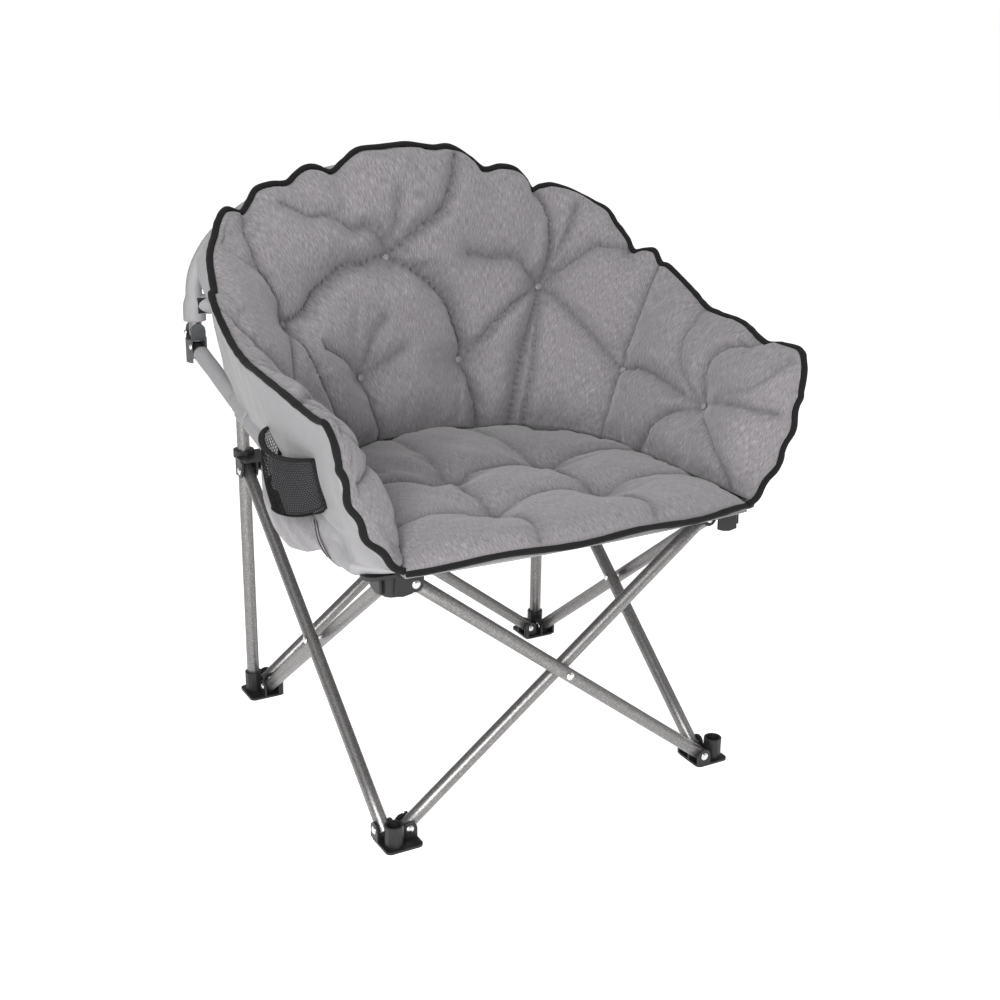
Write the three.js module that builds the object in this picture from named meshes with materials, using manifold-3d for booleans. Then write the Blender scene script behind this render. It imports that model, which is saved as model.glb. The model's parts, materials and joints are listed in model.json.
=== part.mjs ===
// Folding saucer chair: four crossed pairs of tubes, a hinged back hoop, two side rails and a quilted bucket.
// Millimetres, +Z up, the chair faces -Y and the floor is at z = 0. The origin is on the floor, mid chair.
import * as THREE from "three";
import { mergeVertices } from "three/addons/utils/BufferGeometryUtils.js";
import Module from "manifold-3d";

const wasm = await Module();
wasm.setup();

// Driving dimensions of the frame, which is alike on its four sides
const POST_REACH = 260; // from the middle of the chair to a post's axis, along X and along Y
const PIVOT_SETBACK = 26; // from a post's axis in to the pivots of the crossed tubes
const LOW_PIVOT_HEIGHT = 16.5;
const HIGH_PIVOT_HEIGHT = 380.5;
const TUBE_DIAMETER = 19;
const TUBE_WALL = 1.5;
const CROSS_GAP = 3.4; // between the two tubes of a crossed pair
const PAIR_SETBACK = 7; // from a post's axis in to the plane between the two tubes of a pair
const TUBE_END = 8; // what a tube runs past its pivot
const TOUCH_GAP = 0.3; // between pieces that rest on each other
const RUNNING_GAP = 0.5; // beside pieces that turn or slide

// Moulded corners
const CLEVIS_WALL = 3.2;
const CLEVIS_RADIUS = 11;
const FOOT_PLATE = 3.4;
const FOOT_MARGIN = 17.5; // foot plate outside the post's axis
const FOOT_INSET = 37; // foot plate inside the post's axis
const FOOT_CORNER = 8;
const SOCKET_WALL = 3.2;
const SOCKET_TOP = 34;
const FIN_HEIGHT = 26;
const FIN_THICKNESS = 4;
const BRACKET_RISE = 14; // from the high pivots up to the underside of the top plate
const BRACKET_PLATE = 5;
const TONGUE_REACH = 42; // front bracket's plate, outside the post line
const TONGUE_RADIUS = 17;
const COLLAR_WALL = 3.2;
const COLLAR_BAND = 6; // wall of the wider band at the collar's top
const COLLAR_ABOVE = 6; // slider's collar above its top plate
const COLLAR_BELOW = 28;

// Rivets
const RIVET_RADIUS = 3;
const RIVET_HEAD_RADIUS = 6;
const RIVET_HEAD = 2;

// Back hoop, side hinges and rails
const HOOP_OVERHANG = 56; // the hoop's legs outside the posts' axes
const HOOP_SETBACK = 28; // the hoop's plane behind the posts' axes
const HOOP_CLAMP_RISE = 248.5; // above the high pivots
const HOOP_BEND = 16; // the hoop starts to bend this far above the clamp's middle
const HOOP_LEG_DROP = 38; // the side hinge's pin below the clamp's
const CLAMP_WALL = 4.2;
const CLAMP_HEIGHT = 20;
const CLAMP_EAR = 6;
const CLAMP_DROP = 6; // the clamp's ring lies lower than its pin
const POST_TOP_MARGIN = 14;
const RAIL_PIVOT_DROP = 28; // below the side hinge's pin
const RAIL_FRONT_INSET = 69.3; // the rail ends this far behind the line of the front posts' axes
const RAIL_SLOPE = THREE.MathUtils.degToRad(15.6);
const RAIL_TOE = THREE.MathUtils.degToRad(1.8); // the rails come closer together towards the front
const KNUCKLE_WALL = 3;
const KNUCKLE_BORE = 12.9; // radius of the open cup that the rail turns in
const KNUCKLE_WEB = 2.2;
const KNUCKLE_SKIRT = 20; // cup below the rail's pivot

// Bucket of pads and shells
const SEAT_INSET = 10; // the seat's side seams inside the posts' axes
const SEAT_FLARE = 12; // the seat's side seams spread this much more at the front
const SEAT_MIDDLE = 58; // the rounded rear starts this far in front of the middle
const SEAT_REAR_INSET = 83; // the rear seam's middle in front of the posts' axes
const SEAT_FRONT_OVERHANG = 42; // the front corners in front of the posts' axes
const SEAT_BOW = 54; // the front edge bows forward by this
const SEAT_DROP = 8.8; // the rear seam lies lower than the front corners
const SEAT_LIFT = 20; // the middle of the front edge stands higher than its corners
const RIM_OVERHANG = 50; // the rim's widest place outside the hoop's legs
const RIM_FRONT_OVERHANG = 40; // the scale of the rim's plan in front of the posts' axes
const RIM_RISE = 438; // top of the back above the rear seam
const SCALLOP = 6; // height of the puffs along the rim
const PAD_CROWN = 34;
const PAD_EDGE = 9;
const PAD_BACK_GAP = 2;
const PAD_SEAM_GAP = 1.2;
const SEAT_CROWN = 24;
const SEAT_EDGE = 10;
const TUFT_DEPTH = 24;
const TUFT_RADIUS = 46;
const FOLD_DEPTH = 17; // of the folds that run between the tufts
const FOLD_RADIUS = 25;
const SHELL_THICKNESS = 2.5;
const SHELL_GAP = 0.5; // between pad and shell
const SHELL_FOLD = 3; // depth of the folds of the slack cloth
const SHELL_SAG = 9; // the shell hangs lower than this under the middle of the seat
const CUP_LENGTH = 136;
const CUP_DEPTH = 39;
const CUP_HEIGHT = 96;
const CUP_WALL = 2.4;
const CUP_STANDOFF = 27.2; // outside the rail
const CUP_DROP = 14; // its mouth below the rail's pivot
const CUP_MIDDLE = -150; // along Y
const POUCH_FRONT = -168; // along Y
const POUCH_REAR = 36;
const POUCH_DEPTH = 100; // at its rear
const POUCH_THICKNESS = 13;

// Facets
const ROUND = 12;
const SMALL_ROUND = 8;
const OVERRUN = 1; // cutting bodies run past what they cut by this

// Worked out from the values above
const TUBE_RADIUS = TUBE_DIAMETER / 2;
const PIVOT_REACH = POST_REACH - PIVOT_SETBACK;
const PAIR_REACH = POST_REACH - PAIR_SETBACK;
const INNER_REACH = PAIR_REACH - (TUBE_DIAMETER + CROSS_GAP) / 2;
const OUTER_REACH = PAIR_REACH + (TUBE_DIAMETER + CROSS_GAP) / 2;
const PIVOT_RISE = HIGH_PIVOT_HEIGHT - LOW_PIVOT_HEIGHT;
const SCISSOR_ANGLE = Math.atan2(PIVOT_RISE, 2 * PIVOT_REACH);
const SCISSOR_LENGTH = Math.hypot(PIVOT_RISE, 2 * PIVOT_REACH);
const HOLE_RADIUS = RIVET_RADIUS + TOUCH_GAP;
const PLATE_UNDER = HIGH_PIVOT_HEIGHT + BRACKET_RISE;
const PLATE_TOP = PLATE_UNDER + BRACKET_PLATE;
const HOOP_HALF_WIDTH = POST_REACH + HOOP_OVERHANG;
const HOOP_PLANE = POST_REACH + HOOP_SETBACK;
const HOOP_CLAMP_HEIGHT = HIGH_PIVOT_HEIGHT + HOOP_CLAMP_RISE;
const HOOP_LEG_PIVOT = HOOP_CLAMP_HEIGHT - HOOP_LEG_DROP;
const RAIL_PIVOT_HEIGHT = HOOP_LEG_PIVOT - RAIL_PIVOT_DROP;
const RAIL_REACH = HOOP_PLANE + POST_REACH - RAIL_FRONT_INSET;
const RAIL_LENGTH = RAIL_REACH / Math.cos(RAIL_SLOPE) + TUBE_END;
const HOOP_TOP_PIVOT = HOOP_CLAMP_HEIGHT + PIVOT_RISE / 2;
const HOOP_BEND_HEIGHT = HOOP_CLAMP_HEIGHT + HOOP_BEND;
const HOOP_SLIVER = Math.sqrt(1 - (PIVOT_SETBACK / HOOP_HALF_WIDTH) ** 2);
const HOOP_RISE = (HOOP_TOP_PIVOT - HOOP_BEND_HEIGHT) / HOOP_SLIVER;
const SEAT_CORNER_HEIGHT = PLATE_TOP + TOUCH_GAP + SHELL_THICKNESS + SHELL_GAP + SEAT_EDGE / 2;
const SEAT_HEIGHT = SEAT_CORNER_HEIGHT - SEAT_DROP;
const SEAT_HALF_WIDTH = POST_REACH - SEAT_INSET;
const SEAT_FRONT = POST_REACH + SEAT_FRONT_OVERHANG;
const SEAT_REAR = POST_REACH - SEAT_REAR_INSET + SEAT_MIDDLE;
const RIM_HALF_WIDTH = HOOP_HALF_WIDTH + RIM_OVERHANG;
const RIM_REACH = POST_REACH + RIM_FRONT_OVERHANG;
const CUP_TOP = RAIL_PIVOT_HEIGHT - CUP_DROP;
const QUARTER = Math.PI / 2;
const CORNERS = ["front_left", "rear_left", "rear_right", "front_right"];
const SIDES = ["front", "left", "rear", "right"];

// Materials
function finish(color, roughness, metalness = 0) {
  return new THREE.MeshStandardMaterial({ color, roughness, metalness });
}
const TUBE_STEEL = finish(0x8d8e92, 0.42, 0.75);
const RIVET_STEEL = finish(0xd0d0d2, 0.25, 1);
const BLACK_PLASTIC = finish(0x1b1b1d, 0.5);
const GREY_PLASTIC = finish(0x45474a, 0.55);
const HEATHER = finish(0x8c868c, 0.9);
const SHELL_CLOTH = finish(0xafafb2, 0.8);
const MESH_CLOTH = finish(0x202022, 0.85);

const chair = new THREE.Group();

// A geometry as a solid that can be joined and cut
function solid(geometry) {
  const bare = geometry.clone();
  bare.deleteAttribute("normal");
  bare.deleteAttribute("uv");
  const merged = mergeVertices(bare, OVERRUN / 1000);
  return new wasm.Manifold(
    new wasm.Mesh({
      numProp: 3,
      vertProperties: merged.attributes.position.array,
      triVerts: new Uint32Array(merged.index.array),
    }),
  );
}

function geometryOf(body) {
  const made = body.getMesh();
  const geometry = new THREE.BufferGeometry();
  geometry.setAttribute("position", new THREE.BufferAttribute(made.vertProperties, 3));
  geometry.setIndex(new THREE.BufferAttribute(made.triVerts, 1));
  geometry.computeVertexNormals();
  return geometry;
}

function addNode(name, geometry, material, parent = chair) {
  const mesh = new THREE.Mesh(geometry, material);
  mesh.name = name;
  parent.add(mesh);
  return mesh;
}

// Places the geometry's middle at (x, y, z) with its own Z axis along the given axis
function placed(geometry, x, y, z, axis = "z") {
  if (axis === "x") geometry.rotateY(QUARTER);
  if (axis === "y") geometry.rotateX(-QUARTER);
  return geometry.translate(x, y, z);
}

function rod(radius, length, x, y, z, axis, sides = ROUND) {
  const geometry = new THREE.CylinderGeometry(radius, radius, length, sides).rotateX(QUARTER);
  return solid(placed(geometry, x, y, z, axis));
}

// A block between two corners
function block(low, high) {
  const size = high.map((value, i) => value - low[i]);
  const middle = high.map((value, i) => (value + low[i]) / 2);
  return solid(new THREE.BoxGeometry(...size).translate(...middle));
}

// A flat plate with round corners between two corners in plan
function roundedPlate(x0, y0, x1, y1, z0, z1, corner) {
  const outline = new THREE.Shape();
  outline.moveTo(x0 + corner, y0);
  outline.lineTo(x1 - corner, y0);
  outline.absarc(x1 - corner, y0 + corner, corner, -QUARTER, 0);
  outline.lineTo(x1, y1 - corner);
  outline.absarc(x1 - corner, y1 - corner, corner, 0, QUARTER);
  outline.lineTo(x0 + corner, y1);
  outline.absarc(x0 + corner, y1 - corner, corner, QUARTER, 2 * QUARTER);
  outline.lineTo(x0, y0 + corner);
  outline.absarc(x0 + corner, y0 + corner, corner, 2 * QUARTER, 3 * QUARTER);
  const options = { depth: z1 - z0, bevelEnabled: false, curveSegments: 4 };
  return solid(new THREE.ExtrudeGeometry(outline, options).translate(0, 0, z0));
}

function ringShape(outer, inner, sides) {
  const shape = new THREE.Shape();
  const hole = new THREE.Path();
  for (let i = 0; i < sides; i++) {
    const turn = (4 * QUARTER * i) / sides;
    const [c, s] = [Math.cos(turn), Math.sin(turn)];
    if (i) shape.lineTo(outer * c, outer * s);
    else shape.moveTo(outer * c, outer * s);
    if (i) hole.lineTo(inner * c, inner * s);
    else hole.moveTo(inner * c, inner * s);
  }
  shape.closePath();
  hole.closePath();
  shape.holes.push(hole);
  return shape;
}

// An open tube from z = 0 up
function tubeUp(length) {
  const section = ringShape(TUBE_RADIUS, TUBE_RADIUS - TUBE_WALL, ROUND);
  return new THREE.ExtrudeGeometry(section, { depth: length, bevelEnabled: false });
}

function tubeOnPath(path, steps) {
  const section = ringShape(TUBE_RADIUS, TUBE_RADIUS - TUBE_WALL, ROUND);
  return new THREE.ExtrudeGeometry(section, { steps, extrudePath: path, bevelEnabled: false });
}

// A rivet that holds a stack of the given thickness, along Z, with its middle at the origin
function rivetGeometry(grip) {
  const half = grip / 2 + TOUCH_GAP;
  const crown = half + RIVET_HEAD;
  const outline = [
    [0, -crown],
    [RIVET_HEAD_RADIUS / 2, -crown],
    [RIVET_HEAD_RADIUS, -half],
    [RIVET_RADIUS, -half],
    [RIVET_RADIUS, half],
    [RIVET_HEAD_RADIUS, half],
    [RIVET_HEAD_RADIUS / 2, crown],
    [0, crown],
  ].map(([r, z]) => new THREE.Vector2(r, z));
  const lathe = new THREE.LatheGeometry(outline, SMALL_ROUND).rotateX(QUARTER);
  return geometryOf(solid(lathe));
}

// Two walls beside a tube that lies in the plane at this reach, joined to what is above or below
function clevis(along, reach, height, plateSide) {
  const inside = TUBE_RADIUS + RUNNING_GAP;
  const middle = inside + CLEVIS_WALL / 2;
  const walls = [];
  for (const side of [-1, 1]) {
    const plane = -reach + side * middle;
    const at = along === "x" ? [-PIVOT_REACH, plane] : [plane, -PIVOT_REACH];
    const ear = rod(CLEVIS_RADIUS, CLEVIS_WALL, at[0], at[1], height, along === "x" ? "y" : "x");
    const half = [CLEVIS_RADIUS, CLEVIS_WALL / 2];
    if (along === "y") half.reverse();
    const low = [at[0] - half[0], at[1] - half[1], Math.min(height, plateSide)];
    const high = [at[0] + half[0], at[1] + half[1], Math.max(height, plateSide)];
    walls.push(ear.add(block(low, high)));
  }
  return walls[0].add(walls[1]);
}

function rivetHole(along, reach, height) {
  const length = TUBE_DIAMETER + 4 * CLEVIS_WALL;
  const at = along === "x" ? [-PIVOT_REACH, -reach] : [-reach, -PIVOT_REACH];
  return rod(HOLE_RADIUS, length, at[0], at[1], height, along === "x" ? "y" : "x", SMALL_ROUND);
}

// Corner foot, drawn at the front left: the inner tube runs along X and the outer one along Y
function footGeometry() {
  const outside = -POST_REACH - FOOT_MARGIN;
  const inside = -POST_REACH + FOOT_INSET;
  const plate = roundedPlate(outside, outside, inside, inside, 0, FOOT_PLATE, FOOT_CORNER);
  const bore = TUBE_RADIUS + TOUCH_GAP;
  const socket = rod(bore + SOCKET_WALL, SOCKET_TOP, -POST_REACH, -POST_REACH, SOCKET_TOP / 2, "z");
  const depth = SOCKET_TOP - FOOT_PLATE + OVERRUN;
  const hollow = rod(bore, depth, -POST_REACH, -POST_REACH, FOOT_PLATE + depth / 2, "z");
  const finAt = inside - FIN_THICKNESS - OVERRUN;
  const finFoot = [finAt, finAt, 0];
  const fin = block(finFoot, [finAt + FIN_THICKNESS, finAt + FIN_THICKNESS, FIN_HEIGHT]);
  return geometryOf(
    plate
      .add(socket)
      .add(clevis("x", INNER_REACH, LOW_PIVOT_HEIGHT, FOOT_PLATE / 2))
      .add(clevis("y", OUTER_REACH, LOW_PIVOT_HEIGHT, FOOT_PLATE / 2))
      .add(fin)
      .subtract(hollow)
      .subtract(rivetHole("x", INNER_REACH, LOW_PIVOT_HEIGHT))
      .subtract(rivetHole("y", OUTER_REACH, LOW_PIVOT_HEIGHT)),
  );
}

// Top corner, drawn at the front left: the outer tube runs along X and the inner one along Y
function topCorner() {
  const outside = -POST_REACH - FOOT_MARGIN;
  const inside = -POST_REACH + FOOT_INSET;
  return roundedPlate(outside, outside, inside, inside, PLATE_UNDER, PLATE_TOP, FOOT_CORNER)
    .add(clevis("x", OUTER_REACH, HIGH_PIVOT_HEIGHT, PLATE_UNDER + OVERRUN))
    .add(clevis("y", INNER_REACH, HIGH_PIVOT_HEIGHT, PLATE_UNDER + OVERRUN))
    .subtract(rivetHole("x", OUTER_REACH, HIGH_PIVOT_HEIGHT))
    .subtract(rivetHole("y", INNER_REACH, HIGH_PIVOT_HEIGHT));
}

function bracketGeometry(mirrored) {
  const tip = POST_REACH + TONGUE_REACH - TONGUE_RADIUS;
  const thickness = BRACKET_PLATE;
  const middle = PLATE_UNDER + thickness / 2;
  const [x, y] = mirrored ? [-POST_REACH, -tip] : [-tip, -POST_REACH];
  const end = rod(TONGUE_RADIUS, thickness, x, y, middle, "z");
  const low = [Math.min(x, -POST_REACH), Math.min(y, -POST_REACH), PLATE_UNDER];
  const high = [Math.max(x, -POST_REACH), Math.max(y, -POST_REACH), PLATE_TOP];
  const across = mirrored ? 0 : 1;
  low[across] -= TONGUE_RADIUS;
  high[across] += TONGUE_RADIUS;
  const bore = TUBE_RADIUS + RUNNING_GAP;
  const depth = COLLAR_BELOW + OVERRUN;
  const bossMiddle = PLATE_UNDER + OVERRUN - depth / 2;
  const boss = rod(bore + COLLAR_WALL, depth, -POST_REACH, -POST_REACH, bossMiddle, "z");
  const hollow = rod(bore, depth, -POST_REACH, -POST_REACH, PLATE_UNDER - depth / 2, "z");
  return geometryOf(topCorner().add(boss).subtract(hollow).add(end).add(block(low, high)));
}

// The slider's plate stops short of the hoop, its clamp and the hanging rail of the folded chair
function sliderGeometry() {
  const bore = TUBE_RADIUS + RUNNING_GAP;
  const outside = -POST_REACH - FOOT_MARGIN - OVERRUN;
  const edge = -POST_REACH - TUBE_RADIUS;
  const ears = -PIVOT_REACH - CLEVIS_RADIUS - OVERRUN;
  const inside = -POST_REACH + FOOT_INSET + OVERRUN;
  const low = PLATE_UNDER - OVERRUN;
  const high = PLATE_TOP + OVERRUN;
  const backTrim = block([outside, outside, low], [edge, inside, high]);
  const sideTrim = block([outside, outside, low], [ears, edge, high]);
  const top = PLATE_TOP + COLLAR_ABOVE;
  const bottom = PLATE_UNDER - COLLAR_BELOW;
  const middle = (top + bottom) / 2;
  const length = top - bottom;
  const collar = rod(bore + COLLAR_WALL, length, -POST_REACH, -POST_REACH, middle, "z");
  const bandMiddle = (top + PLATE_UNDER) / 2;
  const band = rod(bore + COLLAR_BAND, top - PLATE_UNDER, -POST_REACH, -POST_REACH, bandMiddle, "z");
  const hollow = rod(bore, length + 2 * OVERRUN, -POST_REACH, -POST_REACH, middle, "z");
  const plate = topCorner().subtract(backTrim).subtract(sideTrim);
  return geometryOf(plate.add(collar).add(band).subtract(hollow));
}

// Crossed tube with its three rivet holes, lying along X from its low pivot at the origin
function scissorTubeGeometry() {
  const tube = solid(
    placed(tubeUp(SCISSOR_LENGTH + 2 * TUBE_END), -TUBE_END, 0, 0, "x"),
  );
  const holes = [0, SCISSOR_LENGTH / 2, SCISSOR_LENGTH].map((x) =>
    rod(HOLE_RADIUS, TUBE_DIAMETER + 2 * OVERRUN, x, 0, 0, "y", SMALL_ROUND),
  );
  return geometryOf(holes.reduce((body, hole) => body.subtract(hole), tube));
}

const foot = footGeometry();
const slider = sliderGeometry();
const scissorTube = scissorTubeGeometry();
const cornerRivet = rivetGeometry(TUBE_DIAMETER + 2 * (RUNNING_GAP + CLEVIS_WALL));
const crossRivet = rivetGeometry(2 * TUBE_DIAMETER + CROSS_GAP);

// Feet, brackets, sliders and their rivets, turned a quarter for each corner
CORNERS.forEach((corner, index) => {
  const turned = new THREE.Group();
  turned.rotation.z = -QUARTER * index;
  chair.add(turned);
  addNode(`${corner}_foot`, foot, BLACK_PLASTIC, turned);
  if (corner.startsWith("rear")) addNode(`${corner}_slider`, slider, BLACK_PLASTIC, turned);
  else addNode(`${corner}_bracket`, bracketGeometry(index > 0), BLACK_PLASTIC, turned);
  const seats = [
    ["foot_inner_rivet", -PIVOT_REACH, -INNER_REACH, LOW_PIVOT_HEIGHT, "y"],
    ["foot_outer_rivet", -OUTER_REACH, -PIVOT_REACH, LOW_PIVOT_HEIGHT, "x"],
    ["top_outer_rivet", -PIVOT_REACH, -OUTER_REACH, HIGH_PIVOT_HEIGHT, "y"],
    ["top_inner_rivet", -INNER_REACH, -PIVOT_REACH, HIGH_PIVOT_HEIGHT, "x"],
  ];
  for (const [name, x, y, z, axis] of seats)
    addNode(`${corner}_${name}`, placed(cornerRivet.clone(), x, y, z, axis), RIVET_STEEL, turned);
});

// Crossed tubes, turned a quarter for each side
SIDES.forEach((side, index) => {
  const turned = new THREE.Group();
  turned.rotation.z = -QUARTER * index;
  chair.add(turned);
  const inner = addNode(`${side}_inner_tube`, scissorTube, TUBE_STEEL, turned);
  inner.position.set(-PIVOT_REACH, -INNER_REACH, LOW_PIVOT_HEIGHT);
  inner.rotation.y = -SCISSOR_ANGLE;
  const outer = addNode(`${side}_outer_tube`, scissorTube, TUBE_STEEL, turned);
  outer.position.set(PIVOT_REACH, -OUTER_REACH, LOW_PIVOT_HEIGHT);
  outer.rotation.y = SCISSOR_ANGLE - 2 * QUARTER;
  const crossHeight = (LOW_PIVOT_HEIGHT + HIGH_PIVOT_HEIGHT) / 2;
  addNode(
    `${side}_cross_rivet`,
    placed(crossRivet.clone(), 0, -PAIR_REACH, crossHeight, "y"),
    RIVET_STEEL,
    turned,
  );
});

// Rear posts, with a hole at the top for the clamp's pin
const POST_BOTTOM = FOOT_PLATE + TOUCH_GAP;
const POST_TOP = HOOP_CLAMP_HEIGHT + POST_TOP_MARGIN;
const PIN_HOLE_LENGTH = TUBE_DIAMETER + 2 * OVERRUN;

function postGeometry(x) {
  const tube = solid(tubeUp(POST_TOP - POST_BOTTOM).translate(x, POST_REACH, POST_BOTTOM));
  const hole = rod(HOLE_RADIUS, PIN_HOLE_LENGTH, x, POST_REACH, HOOP_CLAMP_HEIGHT, "y", SMALL_ROUND);
  return geometryOf(tube.subtract(hole));
}

// Half of the hoop on the left: a straight leg, then a quarter ellipse that runs past the top pivot
class HoopCurve extends THREE.Curve {
  constructor(side) {
    super();
    this.side = side;
    this.leg = HOOP_BEND_HEIGHT - HOOP_LEG_PIVOT + TUBE_END;
    this.last = Math.acos((PIVOT_SETBACK - TUBE_END) / HOOP_HALF_WIDTH);
    this.arc = (this.last * (HOOP_HALF_WIDTH + HOOP_RISE)) / 2;
  }
  getPoint(share, target = new THREE.Vector3()) {
    const run = share * (this.leg + this.arc);
    if (run < this.leg) {
      const height = HOOP_BEND_HEIGHT - this.leg + run;
      return target.set(this.side * HOOP_HALF_WIDTH, HOOP_PLANE, height);
    }
    const turn = ((run - this.leg) / this.arc) * this.last;
    const across = HOOP_HALF_WIDTH * Math.cos(turn);
    const up = HOOP_RISE * Math.sin(turn);
    return target.set(this.side * across, HOOP_PLANE, HOOP_BEND_HEIGHT + up);
  }
}
const HOOP_STEPS = 12;

function hoopGeometry(side) {
  const tube = solid(tubeOnPath(new HoopCurve(side), HOOP_STEPS));
  const pinLength = TUBE_DIAMETER + 2 * OVERRUN;
  const topHole = rod(
    HOLE_RADIUS, pinLength, side * PIVOT_SETBACK, HOOP_PLANE, HOOP_TOP_PIVOT, "y", SMALL_ROUND,
  );
  const legHole = rod(
    HOLE_RADIUS, pinLength, side * HOOP_HALF_WIDTH, HOOP_PLANE, HOOP_LEG_PIVOT, "y", SMALL_ROUND,
  );
  return geometryOf(tube.subtract(topHole).subtract(legHole));
}

// Clamp round the hoop with an ear behind the post's top, and the pin through the post
function clampGeometry(side) {
  const hoopX = side * HOOP_HALF_WIDTH;
  const postX = side * POST_REACH;
  const bore = TUBE_RADIUS + TOUCH_GAP;
  const outer = bore + CLAMP_WALL;
  const ringHeight = HOOP_CLAMP_HEIGHT - CLAMP_DROP;
  const ring = rod(outer, CLAMP_HEIGHT, hoopX, HOOP_PLANE, ringHeight, "z");
  const hollowDepth = CLAMP_HEIGHT + 2 * CLAMP_DROP + 2 * OVERRUN;
  const hollow = rod(bore, hollowDepth, hoopX, HOOP_PLANE, ringHeight, "z");
  const earFront = POST_REACH + TUBE_RADIUS + OVERRUN;
  const earBack = earFront + CLAMP_EAR;
  const half = CLEVIS_RADIUS;
  const ear = block(
    [Math.min(hoopX, postX), earFront, HOOP_CLAMP_HEIGHT - half],
    [Math.max(hoopX, postX), earBack, HOOP_CLAMP_HEIGHT + half],
  );
  const earEnd = rod(half, CLAMP_EAR, postX, (earFront + earBack) / 2, HOOP_CLAMP_HEIGHT, "y");
  const headBack = POST_REACH - TUBE_RADIUS - TOUCH_GAP;
  const pinFront = headBack - RIVET_HEAD;
  const pin = rod(
    RIVET_RADIUS, earBack - pinFront, postX, (earBack + pinFront) / 2, HOOP_CLAMP_HEIGHT, "y", SMALL_ROUND,
  );
  const head = rod(
    RIVET_HEAD_RADIUS, RIVET_HEAD, postX, pinFront + RIVET_HEAD / 2, HOOP_CLAMP_HEIGHT, "y", SMALL_ROUND,
  );
  return geometryOf(ring.add(ear).subtract(hollow).add(earEnd).add(pin).add(head));
}

// Side hinge: a clevis on top for the hoop's leg and an open cup below for the rail
function knuckleGeometry(side) {
  const x = side * HOOP_HALF_WIDTH;
  const y = HOOP_PLANE;
  const outer = KNUCKLE_BORE + KNUCKLE_WALL;
  const swing = Math.hypot(TUBE_END, TUBE_RADIUS);
  const webLow = RAIL_PIVOT_HEIGHT + swing + RUNNING_GAP;
  const webHigh = webLow + KNUCKLE_WEB;
  const bottom = RAIL_PIVOT_HEIGHT - KNUCKLE_SKIRT;
  const cup = rod(outer, webHigh - bottom, 0, 0, (webHigh + bottom) / 2, "z");
  const cupDepth = webLow - bottom + OVERRUN;
  const hollow = rod(KNUCKLE_BORE, cupDepth, 0, 0, webLow - cupDepth / 2, "z");
  const slotHalf = TUBE_RADIUS + RUNNING_GAP;
  const slot = block([-slotHalf, -outer - OVERRUN, bottom - OVERRUN], [slotHalf, 0, webLow]);
  const pinLength = 2 * KNUCKLE_BORE + KNUCKLE_WALL;
  const railPin = rod(RIVET_RADIUS, pinLength, 0, 0, RAIL_PIVOT_HEIGHT, "x", SMALL_ROUND);
  const toe = -side * THREE.MathUtils.radToDeg(RAIL_TOE);
  const lower = cup.subtract(hollow).subtract(slot).add(railPin).rotate([0, 0, toe]).translate([x, y, 0]);
  const plates = [-1, 1].map((face) => {
    const middle = y + face * (slotHalf + KNUCKLE_WALL / 2);
    const half = KNUCKLE_WALL / 2;
    const low = [x - CLEVIS_RADIUS, middle - half, webHigh - KNUCKLE_WEB / 2];
    const plate = block(low, [x + CLEVIS_RADIUS, middle + half, HOOP_LEG_PIVOT]);
    return plate.add(rod(CLEVIS_RADIUS, KNUCKLE_WALL, x, middle, HOOP_LEG_PIVOT, "y"));
  });
  const hoopPin = rod(RIVET_RADIUS, 2 * slotHalf + KNUCKLE_WALL, x, y, HOOP_LEG_PIVOT, "y", SMALL_ROUND);
  return geometryOf(lower.add(plates[0]).add(plates[1]).add(hoopPin));
}

// Side rail from its pivot in the side hinge forward and a little down, along the shell's side
function railGeometry(side) {
  const tube = solid(tubeUp(RAIL_LENGTH).rotateX(QUARTER).translate(0, TUBE_END, 0));
  const hole = rod(HOLE_RADIUS, TUBE_DIAMETER + 2 * OVERRUN, 0, 0, 0, "x", SMALL_ROUND);
  const body = geometryOf(tube.subtract(hole));
  const turned = body.rotateX(RAIL_SLOPE).rotateZ(-side * RAIL_TOE);
  return turned.translate(side * HOOP_HALF_WIDTH, HOOP_PLANE, RAIL_PIVOT_HEIGHT);
}

// Centre hinge of the hoop: two plates, a web between the halves and a pin for each half
function topHingeGeometry() {
  const inside = TUBE_RADIUS + RUNNING_GAP;
  let body = block(
    [-KNUCKLE_WALL, HOOP_PLANE - inside - OVERRUN, HOOP_TOP_PIVOT - CLEVIS_RADIUS],
    [KNUCKLE_WALL, HOOP_PLANE + inside + OVERRUN, HOOP_TOP_PIVOT + CLEVIS_RADIUS],
  );
  for (const face of [-1, 1]) {
    const middle = HOOP_PLANE + face * (inside + KNUCKLE_WALL / 2);
    const half = KNUCKLE_WALL / 2;
    const low = [-PIVOT_SETBACK, middle - half, HOOP_TOP_PIVOT - CLEVIS_RADIUS];
    body = body.add(block(low, [PIVOT_SETBACK, middle + half, HOOP_TOP_PIVOT + CLEVIS_RADIUS]));
    for (const side of [-1, 1]) {
      const end = rod(CLEVIS_RADIUS, KNUCKLE_WALL, side * PIVOT_SETBACK, middle, HOOP_TOP_PIVOT, "y");
      body = body.add(end);
    }
  }
  for (const side of [-1, 1]) {
    const length = 2 * inside + KNUCKLE_WALL;
    const pin = rod(
      RIVET_RADIUS, length, side * PIVOT_SETBACK, HOOP_PLANE, HOOP_TOP_PIVOT, "y", SMALL_ROUND,
    );
    body = body.add(pin);
  }
  return geometryOf(body);
}

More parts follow.
